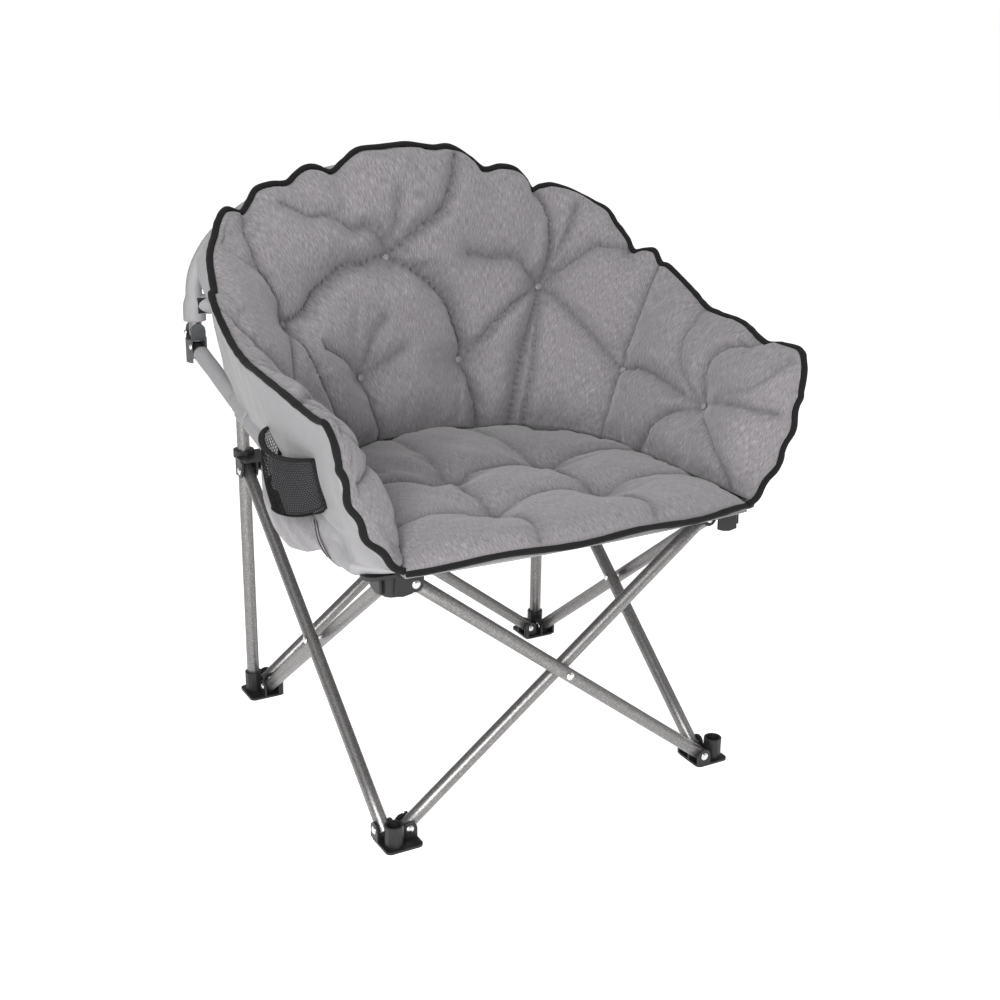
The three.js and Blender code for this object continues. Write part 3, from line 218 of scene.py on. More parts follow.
def tube_faces(sections, count, caps=True):
    """Faces of a tube between closed sections of count points each, and of its two ends."""
    faces = []
    for i in range(sections - 1):
        for j in range(count):
            a, b = i * count + j, i * count + (j + 1) % count
            faces.append((a, a + count, b + count, b))
    if caps:
        faces.append(tuple(range(count)))
        faces.append(tuple(reversed(range((sections - 1) * count, sections * count))))
    return faces


def lengths(grid):
    """Arc lengths along both ways of a grid of points in metres, for the cloth's UVs."""
    du = np.linalg.norm(np.diff(grid, axis=0), axis=-1).mean(axis=1)
    dv = np.linalg.norm(np.diff(grid, axis=1), axis=-1).mean(axis=0)
    u = np.concatenate([[0], np.cumsum(du)])
    v = np.concatenate([[0], np.cumsum(dv)])
    return np.stack(np.meshgrid(u, v, indexing="ij"), -1)


def face_out(obj):
    bm = bmesh.new()
    bm.from_mesh(obj.data)
    bmesh.ops.recalc_face_normals(bm, faces=bm.faces)
    bm.to_mesh(obj.data)
    bm.free()
    return obj


def slab(name, front, back):
    """A closed body between two grids of points in metres."""
    columns, rows = front.shape[:2]
    count = columns * rows
    faces = grid_faces(columns, rows) + grid_faces(columns, rows, count, turned=True)
    for i in range(columns - 1):
        a, b = i * rows, (i + 1) * rows
        faces.append((a, a + count, b + count, b))
        a, b = a + rows - 1, b + rows - 1
        faces.append((a, b, b + count, a + count))
    for j in range(rows - 1):
        faces.append((j, j + 1, j + 1 + count, j + count))
        a = (columns - 1) * rows + j
        faces.append((a, a + count, a + 1 + count, a + 1))
    uv = lengths(front).reshape(-1, 2)
    points = np.vstack([front.reshape(-1, 3), back.reshape(-1, 3)])
    return face_out(mesh_object(name, points, faces, np.vstack([uv, uv])))


def frames_along(path):
    """Tangent, side and up along a path, without twist."""
    tangent = unit(np.gradient(path, axis=0))
    side = np.cross(tangent[0], [0, 0, 1] if abs(tangent[0][2]) < 0.9 else [0, 1, 0])
    sides = []
    for t in tangent:
        side = side - t * np.dot(side, t)
        side = side / np.linalg.norm(side)
        sides.append(side)
    sides = np.array(sides)
    return tangent, sides, np.cross(tangent, sides)


def sweep(name, path, section, caps=True):
    """A tube along a path. section(share) gives the outline's points (side, up) there."""
    tangent, side, up = frames_along(path)
    columns = len(path)
    outlines = [np.asarray(section(i / (columns - 1))) for i in range(columns)]
    rows = len(outlines[0])
    verts = []
    uvs = []
    run = np.concatenate([[0], np.cumsum(np.linalg.norm(np.diff(path, axis=0), axis=-1))])
    for i, outline in enumerate(outlines):
        verts.append(path[i] + outline[:, :1] * side[i] + outline[:, 1:] * up[i])
        turn = np.arange(rows) / rows * np.linalg.norm(outline[0]) * 2 * math.pi
        uvs.append(np.stack([turn, np.full(rows, run[i])], -1))
    faces = tube_faces(columns, rows, caps)
    return face_out(mesh_object(name, np.vstack(verts), faces, np.vstack(uvs)))


def ring(radius, count):
    turn = np.arange(count) / count * 2 * math.pi
    return np.stack([radius * np.cos(turn), radius * np.sin(turn)], -1)


def lathe(name, profile, place, axis, count=24):
    """A turned piece: profile is (radius, height) pairs in metres, along the axis from the place."""
    verts = []
    basis = Vector(axis).normalized().to_track_quat("Z", "Y").to_matrix()
    for radius, height in profile:
        for i in range(count):
            a = 2 * math.pi * i / count
            verts.append(basis @ Vector((radius * math.cos(a), radius * math.sin(a), height)) + Vector(place))
    return face_out(mesh_object(name, verts, tube_faces(len(profile), count)))


def add_modifier(obj, kind, **values):
    modifier = obj.modifiers.new(kind.lower(), kind)
    for key, value in values.items():
        setattr(modifier, key, value)
    return modifier


def apply_modifiers(obj):
    dg = bpy.context.evaluated_depsgraph_get()
    mesh = bpy.data.meshes.new_from_object(obj.evaluated_get(dg))
    obj.modifiers.clear()
    obj.data = mesh
    return obj


# Materials
class Nodes:
    """Short way to make and join shader nodes."""

    def __init__(self, name):
        self.material = bpy.data.materials.new(name)
        self.material.use_nodes = True
        self.tree = self.material.node_tree
        self.shader = self.tree.nodes["Principled BSDF"]

    def node(self, kind, **values):
        made = self.tree.nodes.new("ShaderNode" + kind)
        for key, value in values.items():
            if hasattr(made, key):
                setattr(made, key, value)
            else:
                self.put(made.inputs[key.replace("_", " ")], value)
        return made

    def put(self, socket, value):
        if isinstance(value, bpy.types.NodeSocket):
            self.tree.links.new(value, socket)
        else:
            socket.default_value = value

    def math(self, operation, a, b=0.0):
        made = self.tree.nodes.new("ShaderNodeMath")
        made.operation = operation
        self.put(made.inputs[0], a)
        self.put(made.inputs[1], b)
        return made.outputs[0]

    def scaled(self, value, scale, plus):
        """A value times a scale, plus another value."""
        return self.math("ADD", self.math("MULTIPLY", value, scale), plus)

    def stretch(self, vector, scale):
        made = self.tree.nodes.new("ShaderNodeVectorMath")
        made.operation = "MULTIPLY"
        self.put(made.inputs[0], vector)
        made.inputs[1].default_value = scale
        return made.outputs[0]

    def noise(self, vector, scale, detail=2.0, roughness=0.5):
        made = self.tree.nodes.new("ShaderNodeTexNoise")
        self.put(made.inputs["Vector"], vector)
        made.inputs["Scale"].default_value = scale
        made.inputs["Detail"].default_value = detail
        made.inputs["Roughness"].default_value = roughness
        return made.outputs["Fac"]

    def ramp(self, value, stops):
        made = self.tree.nodes.new("ShaderNodeValToRGB")
        self.put(made.inputs[0], value)
        while len(made.color_ramp.elements) < len(stops):
            made.color_ramp.elements.new(0.5)
        for element, (at, color) in zip(made.color_ramp.elements, stops):
            element.position = at
            element.color = (*color, 1) if hasattr(color, "__len__") else (color, color, color, 1)
        return made.outputs[0]

    def mix(self, factor, a, b):
        made = self.tree.nodes.new("ShaderNodeMix")
        made.data_type = "RGBA"
        self.put(made.inputs[0], factor)
        self.put(made.inputs[6], a if isinstance(a, bpy.types.NodeSocket) else (*a, 1))
        self.put(made.inputs[7], b if isinstance(b, bpy.types.NodeSocket) else (*b, 1))
        return made.outputs[2]

    def coordinates(self):
        return self.tree.nodes.new("ShaderNodeTexCoord").outputs["Object"]

    def cloth_uv(self):
        made = self.tree.nodes.new("ShaderNodeUVMap")
        made.uv_map = "cloth"
        return made.outputs[0]

    def bump(self, height, strength, distance):
        made = self.tree.nodes.new("ShaderNodeBump")
        self.put(made.inputs["Height"], height)
        made.inputs["Strength"].default_value = strength
        made.inputs["Distance"].default_value = distance
        self.tree.links.new(made.outputs[0], self.shader.inputs["Normal"])

    def finish(self, **values):
        for key, value in values.items():
            self.put(self.shader.inputs[key.replace("_", " ")], value)
        return self.material


def weave_height(n, uv, pitch):
    """Threads over and under each other, from the cloth's UVs in metres."""
    split = n.tree.nodes.new("ShaderNodeSeparateXYZ")
    n.put(split.inputs[0], uv)
    warp = n.math("SINE", n.math("MULTIPLY", split.outputs[0], 2 * math.pi / pitch))
    weft = n.math("SINE", n.math("MULTIPLY", split.outputs[1], 2 * math.pi / pitch))
    return n.math("MULTIPLY", warp, weft)


def heather(name, low, high):
    """Melange weave: long pale and dark warp threads, short weft flecks, soft broad variation, and painted
    shade from the stored shade attribute.
    """
    n = Nodes(name)
    uv = n.cloth_uv()
    warp = n.noise(n.stretch(uv, (800.0, 84.0, 1.0)), 1.0, 3.0, 0.62)
    weft = n.noise(n.stretch(uv, (260.0, 760.0, 1.0)), 1.0, 1.5, 0.5)
    broad = n.noise(n.coordinates(), 9.0, 3.0, 0.55)
    threads = n.scaled(warp, 0.8, n.math("MULTIPLY", weft, 0.2))
    dark = tuple(c * low for c in (1.0, 0.935, 1.0))
    pale = tuple(c * high for c in (1.0, 0.955, 0.995))
    middle = tuple((a + b) / 2 * 0.94 for a, b in zip(dark, pale))
    color = n.ramp(threads, [(0.36, dark), (0.5, middle), (0.64, pale)])
    color = n.mix(n.math("MULTIPLY", broad, 0.3), color, (0.14, 0.13, 0.139))
    # Painted shade: the stored shade attribute darkens the weave in creases, between puffs, round the buttons
    # and deep in the bowl.
    shade = n.tree.nodes.new("ShaderNodeAttribute")
    shade.attribute_name = "shade"
    color = n.mix(n.math("MULTIPLY", shade.outputs["Fac"], 0.72), color, (0.024, 0.022, 0.025))
    n.bump(n.scaled(weave_height(n, uv, 0.0022), 0.4, n.math("MULTIPLY", threads, 1.2)), 0.16, 0.0006)
    return n.finish(Base_Color=color, Roughness=n.scaled(threads, 0.2, 0.72),
                    Sheen_Weight=0.28, Sheen_Roughness=0.55, Specular_IOR_Level=0.2)


def oxford(name, color, pitch=0.0016):
    """Smooth woven polyester with a faint grid, fine flecks and a broad random change of tone."""
    n = Nodes(name)
    uv = n.cloth_uv()
    threads = weave_height(n, uv, pitch)
    fleck = n.noise(n.stretch(uv, (700.0, 700.0, 1.0)), 1.0, 2.0)
    broad = n.noise(n.coordinates(), 6.0, 4.0, 0.6)
    shade = n.scaled(fleck, 0.16, n.math("MULTIPLY", broad, 0.3))
    tone = n.ramp(shade, [(0.1, tuple(c * 0.86 for c in color)), (0.36, tuple(c * 1.08 for c in color))])
    crumple = n.noise(n.stretch(n.coordinates(), (1.0, 1.0, 0.7)), 26.0, 3.0, 0.55)
    weave = n.math("MULTIPLY", n.scaled(threads, 0.5, fleck), 0.016)
    n.bump(n.math("ADD", crumple, weave), 0.5, 0.006)
    return n.finish(Base_Color=tone, Roughness=n.scaled(fleck, 0.2, 0.52),
                    Sheen_Weight=0.12, Sheen_Roughness=0.4, Specular_IOR_Level=0.35)


def tape(name, low=0.004, high=0.014):
    """Black woven binding tape."""
    n = Nodes(name)
    uv = n.cloth_uv()
    fleck = n.noise(n.stretch(uv, (900.0, 500.0, 1.0)), 1.0, 3.0)
    tone = n.ramp(fleck, [(0.3, low), (0.75, high)])
    n.bump(n.math("ADD", fleck, n.math("MULTIPLY", weave_height(n, uv, 0.0018), 0.6)), 0.5, 0.001)
    return n.finish(Base_Color=tone, Roughness=0.8, Sheen_Weight=0.03, Specular_IOR_Level=0.16)


def plastic(name, color, wear=0.5):
    """Moulded plastic with a fine grain, softly polished where it is touched."""
    n = Nodes(name)
    place = n.coordinates()
    grain = n.noise(place, 900.0, 2.0)
    cloud = n.noise(place, 45.0, 4.0, 0.6)
    tone = n.ramp(cloud, [(0.3, tuple(c * 0.8 for c in color)), (0.7, tuple(c * 1.35 for c in color))])
    edge = n.tree.nodes.new("ShaderNodeNewGeometry").outputs["Pointiness"]
    worn = n.ramp(edge, [(0.5, 0.0), (0.62, wear)])
    tone = n.mix(worn, tone, tuple(c * 2.4 + 0.01 for c in color))
    n.bump(grain, 0.22, 0.0005)
    return n.finish(Base_Color=tone, Roughness=n.scaled(cloud, 0.3, 0.26), Specular_IOR_Level=0.34)


def hammertone(name):
    """Silver grey hammered powder coat on steel tube."""
    n = Nodes(name)
    place = n.coordinates()
    cells = n.node("TexVoronoi", Scale=420.0)
    n.put(cells.inputs["Vector"], place)
    speck = n.noise(place, 1300.0, 3.0, 0.7)
    broad = n.noise(place, 14.0, 3.0)
    mix = n.scaled(speck, 0.6, n.math("MULTIPLY", cells.outputs["Distance"], 0.5))
    tone = n.ramp(mix, [(0.2, (0.12, 0.115, 0.115)), (0.5, (0.2, 0.195, 0.193)), (0.82, (0.33, 0.325, 0.32))])
    tone = n.mix(n.math("MULTIPLY", broad, 0.25), tone, (0.16, 0.15, 0.145))
    n.bump(cells.outputs["Distance"], 0.16, 0.0005)
    return n.finish(Base_Color=tone, Metallic=0.85, Roughness=n.scaled(speck, 0.3, 0.24))


def bright_steel(name):
    """Bare metal with fine scratches."""
    n = Nodes(name)
    place = n.coordinates()
    scratch = n.noise(n.stretch(place, (900.0, 900.0, 250.0)), 1.0, 3.0)
    tone = n.ramp(scratch, [(0.3, 0.5), (0.7, 0.82)])
    n.bump(scratch, 0.08, 0.0003)
    return n.finish(Base_Color=tone, Metallic=1.0, Roughness=n.scaled(scratch, 0.2, 0.16))


HEATHER = heather("heather_weave", 0.128, 0.305)
SHELL = oxford("shell_weave", (0.285, 0.279, 0.287))
TAPE = tape("binding_tape")
BLACK = plastic("black_moulding", (0.009, 0.009, 0.0098))
GREY = plastic("grey_moulding", (0.045, 0.047, 0.05), 0.35)
TUBE = hammertone("hammered_coat")
STEEL = bright_steel("bright_rivet")
MESH = tape("mesh_thread", 0.003, 0.01)
LINING = oxford("lining_weave", (0.06, 0.06, 0.066), 0.0024)


def dress(obj, material):
    obj.data.materials.clear()
    obj.data.materials.append(material)
    return obj


# The steel frame
body_of = {n: b for b, names in frame["record"]["behaviour"]["bodies"].items() for n in names}


def hang(obj, cover):
    """Lets a soft piece ride on a cover, with a mesh of its own."""
    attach(obj, cover)
    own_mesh(obj)


def soft_piece(obj, material, cover, node=None):
    """Dresses a soft piece, hangs it on its cover, and lets it replace the solid that it stands for."""
    dress(obj, material)
    hang(obj, cover)
    if node:
        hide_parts(node)
    return obj


def stands_for(obj, node, material):
    dress(obj, material)
    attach(obj, body_of[node])
    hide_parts(node)
    return obj


def tube_piece(name, node, path, count=32):
    """A hollow tube along a path in metres, with a rolled end."""
    wall_share = 1 - TUBE_WALL / TUBE_RADIUS
    tangent, side, up = frames_along(path)
    turn = ring(1.0, count)
    radius = TUBE_RADIUS / 1000
    ends = [(wall_share, 0.004), (wall_share, 0), (0.96, 0), (1.0, 0.0005)]
    layers = [(0, scale, depth) for scale, depth in ends]
    layers += [(i, 1.0, 0) for i in range(1, len(path) - 1)]
    layers += [(len(path) - 1, scale, -depth) for scale, depth in reversed(ends)]
    verts = []
    for i, scale, along in layers:
        centre = path[i] + tangent[i] * along
        verts.append(centre + radius * scale * (turn[:, :1] * side[i] + turn[:, 1:] * up[i]))
    obj = face_out(mesh_object(name, np.vstack(verts), tube_faces(len(layers), count)))
    return stands_for(obj, node, TUBE)


def quarter(points, index):
    """Turns points about the chair's middle by quarter turns, as the source does for each corner."""
    points = np.asarray(points, float)
    for _ in range(index % 4):
        points = np.stack([points[..., 1], -points[..., 0], points[..., 2]], -1)
    return points


SIDES = ["front", "left", "rear", "right"]
CORNERS = ["front_left", "rear_left", "rear_right", "front_right"]
slope = math.atan2(HIGH_PIVOT - LOW_PIVOT, 2 * PIVOT_REACH)
for index, side in enumerate(SIDES):
    run = np.array([math.cos(slope), 0, math.sin(slope)]) * TUBE_END
    for kind, reach, sign in [("inner", INNER_REACH, -1), ("outer", OUTER_REACH, 1)]:
        low = np.array([sign * PIVOT_REACH, -reach, LOW_PIVOT])
        high = np.array([-sign * PIVOT_REACH, -reach, HIGH_PIVOT])
        step = run * [-sign, 1, 1]
        path = np.linspace(low - step, high + step, 9)
        tube_piece(f"{side}_{kind}_leg", f"{side}_{kind}_tube", metres(quarter(path, index)))

for name, sign in [("left", -1), ("right", 1)]:
    x = sign * POST_REACH
    path = np.linspace([x, POST_REACH, POST_FOOT], [x, POST_REACH, POST_TOP], 9)
    tube_piece(f"rear_{name}_upright", f"rear_{name}_post", metres(path))
    path = hoop_line(sign, HOOP_LEG - TUBE_END, HOOP_END_X, 5, 41)
    tube_piece(f"{name}_hoop_tube", f"{name}_hoop", metres(path))
    hinge, axis = rail_line(sign)
    path = hinge + np.linspace(-TUBE_END, RAIL_LENGTH - TUBE_END, 9)[:, None] * axis
    tube_piece(f"{name}_rail_tube", f"{name}_side_rail", metres(path))


def rivet(name, node, middle, axis, grip):
    """Semi-tubular rivet with a domed head at both ends."""
    half = grip / 2
    dome = [(0.4, 1.95), (2.2, 1.85), (4.2, 1.35), (5.4, 0.6), (5.9, 0.15), (5.9, 0)]
    profile = [(r, half + 0.3 + h) for r, h in dome] + [(3, half + 0.3)]
    profile = [(r, -h) for r, h in profile] + profile[::-1]
    obj = lathe(name, [(r / 1000, h / 1000) for r, h in profile], metres(middle), axis)
    return stands_for(obj, node, STEEL)


for index, corner in enumerate(CORNERS):
    for kind, x, y, z, axis in [
        ("foot_inner", -PIVOT_REACH, -INNER_REACH, LOW_PIVOT, (0, 1, 0)),
        ("foot_outer", -OUTER_REACH, -PIVOT_REACH, LOW_PIVOT, (1, 0, 0)),
        ("top_outer", -PIVOT_REACH, -OUTER_REACH, HIGH_PIVOT, (0, 1, 0)),
        ("top_inner", -INNER_REACH, -PIVOT_REACH, HIGH_PIVOT, (1, 0, 0)),
    ]:
        middle, axis = quarter([x, y, z], index), quarter(axis, index)
        rivet(f"{corner}_{kind}_pin", f"{corner}_{kind}_rivet", middle, axis, RIVET_GRIP)
for index, side in enumerate(SIDES):
    middle = quarter([0, -PAIR_REACH, (LOW_PIVOT + HIGH_PIVOT) / 2], index)
    rivet(f"{side}_cross_pin", f"{side}_cross_rivet", middle, quarter([0, 1, 0], index), CROSS_GRIP)

# Webs that join each front bracket's collar to its two lugs
WEB_FACES = (-277.9, -273.8)
WEB_LINE = [(-262, 398), (-232, 398), (-232, 372), (-241, 368.5), (-252, 366.8), (-264, 369)]
for name, sign in [("front_left_bracket", -1), ("front_right_bracket", 1)]:
    for label, side in [("front", True), ("side", False)]:
        verts = []
        for depth in WEB_FACES:
            for a, z in WEB_LINE:
                x, y = (a, depth) if side else (depth, a)
                verts.append(((-sign * x) / 1000, (y + SHIFT) / 1000, z / 1000))
        count = len(WEB_LINE)
        faces = [tuple(range(count)), tuple(range(2 * count - 1, count - 1, -1))]
        faces += [(i, (i + 1) % count, count + (i + 1) % count, count + i) for i in range(count)]
        web = mesh_object(f"{name}_{label}_web", verts, faces, None, False)
        face_out(web)
        add_modifier(web, "BEVEL", width=0.0012, segments=3)
        apply_modifiers(web)
        dress(web, BLACK)
        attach(web, body_of[name])

# Rivet heads on the outer faces of the side hinges
for name, sign in [("left_side_hinge", -1), ("right_side_hinge", 1)]:
    corners = [nodes[name].matrix_world @ Vector(c) for c in nodes[name].bound_box]
    face = max(abs(c.x) for c in corners)
    for label, y, z in [("upper", HOOP_Y - 1, 588), ("lower", HOOP_Y - 22, 571)]:
        place = np.array([sign * face, (y + SHIFT) / 1000, z / 1000])
        profile = [(0.0041, -0.001), (0.0041, 0.0004), (0.0034, 0.0014), (0.0018, 0.0019), (0.0004, 0.002)]
        head = lathe(f"{name}_{label}_rivet_head", profile, place, np.array([sign, 0, 0]), 18)
        dress(head, STEEL)
        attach(head, body_of[name])

for name, obj in nodes.items():
    if name.endswith(("foot", "bracket", "slider", "clamp")):
        dress(obj, BLACK)
    elif name.endswith("hinge"):
        dress(obj, GREY)
    else:
        continue
    add_modifier(obj, "BEVEL", width=0.0007, segments=2, limit_method="ANGLE", angle_limit=math.radians(38))

# Quilted pads
# How far the rim's binding stands above or is gathered below its even line, in millimetres, by station
GATHERS = np.array([
    (0, 0), (0.55, 7), (1.05, 1), (1.31, -7), (1.7, 4), (2.15, -1), (2.34, -3), (2.7, 4), (3.1, 8),
    (3.4, 7), (3.56, 1), (3.74, 8), (3.93, -2), (4.15, -17), (4.32, -8), (4.64, 1), (4.83, 9),
    (5.12, 7), (5.6, 3), (5.9, -3), (6.07, -12), (6.18, -21), (6.31, -10), (6.49, 0), (6.69, -2),
    (6.94, -14), (7.12, -3), (7.38, 8), (7.59, 2), (7.88, 3), (8.16, 2), (8.42, 5), (8.59, -5),
    (8.74, -14), (8.9, 0), (9.02, 4), (9.16, 0), (9.29, -6), (9.51, 2), (9.75, 6), (9.92, -3),
    (10.14, -9), (10.37, 9), (10.64, 8), (10.9, 2), (11.37, 2), (11.78, -4), (12.0, -6), (12.2, 6),
    (12.49, 5), (12.81, -5), (13.22, -5), (13.69, -3), (14.03, 6), (14.47, 5), (14.88, -3), (15.27, -3),
    (15.7, 3), (16, 0),
])
gather_line = smooth_line(np.stack([GATHERS[:, 1]] * 3, -1))


def rim_lift(station):
    place = np.interp(station, GATHERS[:, 0], np.arange(len(GATHERS)))
    high = 5 * smooth(station, 4.8, 6.0) * (1 - smooth(station, 10.4, 11.4))
    return gather_line(place)[..., 0] + high


CORNER_START, CORNER_DROP = 0.36, 0.12  # the arms' upper front corners are round from this station on


def top_share(station):
    near = np.minimum(station, 2 * LAST - station)
    share = np.clip((CORNER_START - near) / (CORNER_START - 0.02), 0, 1)
    return 0.99 - CORNER_DROP * (1 - np.sqrt(1 - share**2))


FRONT_BULGE = 25  # the arms' front edges swing out between their corners


def bucket(station, v, offset=0.0, lift=0.0):
    """Point of the dressed wall: v from the seat's seam to the rim, moved to the sitter by the offset."""
    station, v = np.broadcast_arrays(np.asarray(station, float), np.asarray(v, float))
    normal = wall_normal(station, v)
    near = np.minimum(station, 2 * LAST - station)
    bulge = FRONT_BULGE * np.sin(np.pi * np.clip(v, 0, 1) ** 0.8) * (1 - smooth(near, 0, 1.1))
    up = unit(rim_line(station) - seam_line(station))
    raised = np.asarray(lift) * smooth(v, 0.45, 1.0)
    return wall(station, v) + up * raised[..., None] + normal * (bulge - offset)[..., None]


# Buttons: station and height share
BUTTONS = {
    "right_arm": [(1.66, 0.46)],
    "back": [(8.3, 0.655), (5.82, 0.6), (10.5, 0.58), (7.25, 0.29), (9.18, 0.285)],
    "left_arm": [(14.3, 0.47)],
}
SEAM_BUTTON = 0.42  # height share of the button on the seam between back and arm
# Folds: points as (station, share), then depth share and half width in millimetres
FOLDS = {
    "back": [
        ([(8.3, 0.655), (7.64, 0.51), (7.4, 0.39), (7.25, 0.29)], 0.72, 15),
        ([(8.3, 0.655), (8.92, 0.665), (9.5, 0.63), (9.95, 0.59), (10.5, 0.58)], 0.66, 16),
        ([(8.3, 0.655), (7.72, 0.77), (7.48, 0.87), (7.36, 0.99)], 0.62, 14),
        ([(8.3, 0.655), (8.52, 0.76), (8.8, 0.8), (9.3, 0.87), (9.6, 0.92)], 0.44, 15),
        ([(8.3, 0.655), (8.2, 0.75), (8.13, 0.84)], 0.34, 10),
        ([(7.25, 0.29), (6.75, 0.42), (6.25, 0.53), (5.82, 0.6)], 0.44, 12),
        ([(7.25, 0.29), (6.95, 0.14), (6.75, 0.02)], 0.62, 14),
        ([(9.18, 0.285), (9.6, 0.37), (9.95, 0.43)], 0.4, 15),
        ([(9.18, 0.285), (8.88, 0.4), (8.62, 0.46)], 0.34, 14),
        ([(9.18, 0.285), (8.8, 0.31), (8.4, 0.345)], 0.3, 14),
        ([(9.18, 0.285), (9.25, 0.15), (9.3, 0.02)], 0.55, 13),
        ([(5.82, 0.6), (5.78, 0.78), (6.16, 0.99)], 0.6, 13),
        ([(5.82, 0.6), (5.5, 0.8), (5.4, 0.94)], 0.34, 13),
        ([(5.82, 0.6), (6.35, 0.66), (6.85, 0.665), (7.3, 0.65)], 0.44, 18),
        ([(5.82, 0.6), (5.92, 0.35), (5.98, 0.02)], 0.6, 13),
        ([(5.82, 0.6), (5.66, 0.35), (5.56, 0.05)], 0.44, 11),
        ([(5.82, 0.6), (4.8, 0.52), (3.6, 0.42)], 0.4, 16),
        ([(5.82, 0.6), (5.0, 0.78), (4.2, 0.98)], 0.4, 16),
        ([(10.5, 0.58), (10.6, 0.3), (10.6, 0.04)], 0.5, 14),
        ([(10.5, 0.58), (10.55, 0.8), (10.2, 0.99)], 0.5, 13),
        ([(10.5, 0.58), (11.4, 0.5), (12.4, 0.42)], 0.36, 16),
    ],
    "right_arm": [
        ([(1.66, 0.46), (2.6, 0.5), (3.5, 0.42)], 0.5, 15),
        ([(1.66, 0.46), (1.7, 0.72), (1.31, 0.99)], 0.46, 13),
        ([(1.66, 0.46), (1.1, 0.54), (0.3, 0.6)], 0.4, 13),
        ([(1.66, 0.46), (2.1, 0.25), (2.4, 0.03)], 0.44, 15),
        ([(1.66, 0.46), (1.2, 0.28), (0.6, 0.06)], 0.4, 14),
        ([(1.66, 0.46), (2.2, 0.7), (2.34, 0.98)], 0.36, 13),
        ([(1.66, 0.46), (0.9, 0.7), (0.5, 0.9)], 0.26, 12),
    ],
}
FOLDS["left_arm"] = [([(16 - s, v) for s, v in line], d, w) for line, d, w in FOLDS["right_arm"]]


def hump(share, sharpness):
    return np.power(np.clip(4 * share * (1 - share), 0, 1), sharpness)


def fold_depth(points, lines, place, narrow=1.0):
    """How deep the sewn-in folds go at each point, from 0 to 1."""
    depth = np.zeros(points.shape[:-1])
    for line, share, width in lines:
        dense = smooth_line([(a, b, 0) for a, b in line])(np.linspace(0, len(line) - 1, 26))
        spine = place(dense[:, 0], dense[:, 1])
        away = np.min(np.linalg.norm(points[..., None, :] - spine, axis=-1), axis=-1)
        width = width * narrow
        profile = 0.62 * np.exp(-((away / width) ** 2)) + 0.38 * np.exp(-away / (0.26 * width))
        depth = np.maximum(depth, share * profile)
    return depth


def soft_noise(points, size, seed):
    """Smooth noise in -1..1 at points in millimetres."""
    rng = np.random.default_rng(seed)
    total = np.zeros(points.shape[:-1])
    for _ in range(9):
        wave = rng.normal(size=3)
        wave = wave / np.linalg.norm(wave) * rng.uniform(0.6, 1.5) / size * 2 * math.pi
        total += np.sin(points @ wave + rng.uniform(0, 6.28))
    return total / 4.5


def inflate(name, front, back, pins, pressure, stretch, cap):
    """Cloth simulation of a closed pad: the back and the pinned points hold, the face swells and wrinkles."""
    pad = slab(name, front, back)
    count = front.shape[0] * front.shape[1]
    weights = np.ones(2 * count)
    weights[:count] = pins.ravel()
    group = pad.vertex_groups.new(name="held")
    for value in np.unique(weights):
        if value > 0:
            group.add([int(i) for i in np.where(weights == value)[0]], float(value), "REPLACE")
    cloth = pad.modifiers.new("cloth", "CLOTH")
    s = cloth.settings
    s.vertex_group_mass = "held"
    s.use_pressure = True
    s.uniform_pressure_force = pressure
    s.quality = 6
    s.mass = 0.25
    s.tension_stiffness = s.compression_stiffness = 18
    s.shear_stiffness = 8
    s.bending_stiffness = 0.25
    s.shrink_min = s.shrink_max = stretch
    s.effector_weights.gravity = 0
    cloth.point_cache.frame_start, cloth.point_cache.frame_end = 1, SIM_FRAMES + 1
    scene = bpy.context.scene
    for f in range(1, SIM_FRAMES + 1):
        scene.frame_set(f)
    dg = bpy.context.evaluated_depsgraph_get()
    done = pad.evaluated_get(dg).data
    co = np.zeros(len(done.vertices) * 3)
    done.vertices.foreach_get("co", co)
    moved = co.reshape(-1, 3)[:count].reshape(front.shape) - front
    far = np.linalg.norm(moved, axis=-1, keepdims=True)
    limited = moved * np.where(far > 0, cap * np.tanh(far / cap) / np.maximum(far, 1e-9), 0)
    data = pad.data
    bpy.data.objects.remove(pad)
    bpy.data.meshes.remove(data)
    scene.frame_set(1)
    return front + limited


PAD_CROWN, ARM_CROWN, PAD_EDGE = 38, 29, 7  # thickness of the stuffing at its fullest, and at the edge
PAD_BASE, PAD_FOOT = 2.0, 0.042  # gap behind a pad, and the height share where it begins
SIM_FRAMES = 14
CREASE_DEPTH = 0.0075  # of the sharp creases along the folds, in metres


def shade_of(creases, folds, near_button, deep):
    """How much painted shade darkens the cloth: in creases, between puffs, round the buttons and deep in the
    bowl.
    """
    tuft = 0.75 * np.exp(-((near_button / 15) ** 2))
    return np.clip(np.maximum(1.2 * creases + 0.75 * folds, tuft) + deep, 0, 1)


def store_shade(obj, shade):
    values = np.concatenate([shade.ravel(), np.zeros(len(obj.data.vertices) - shade.size)])
    layer = obj.data.attributes.new("shade", "FLOAT", "POINT")
    layer.data.foreach_set("value", values)


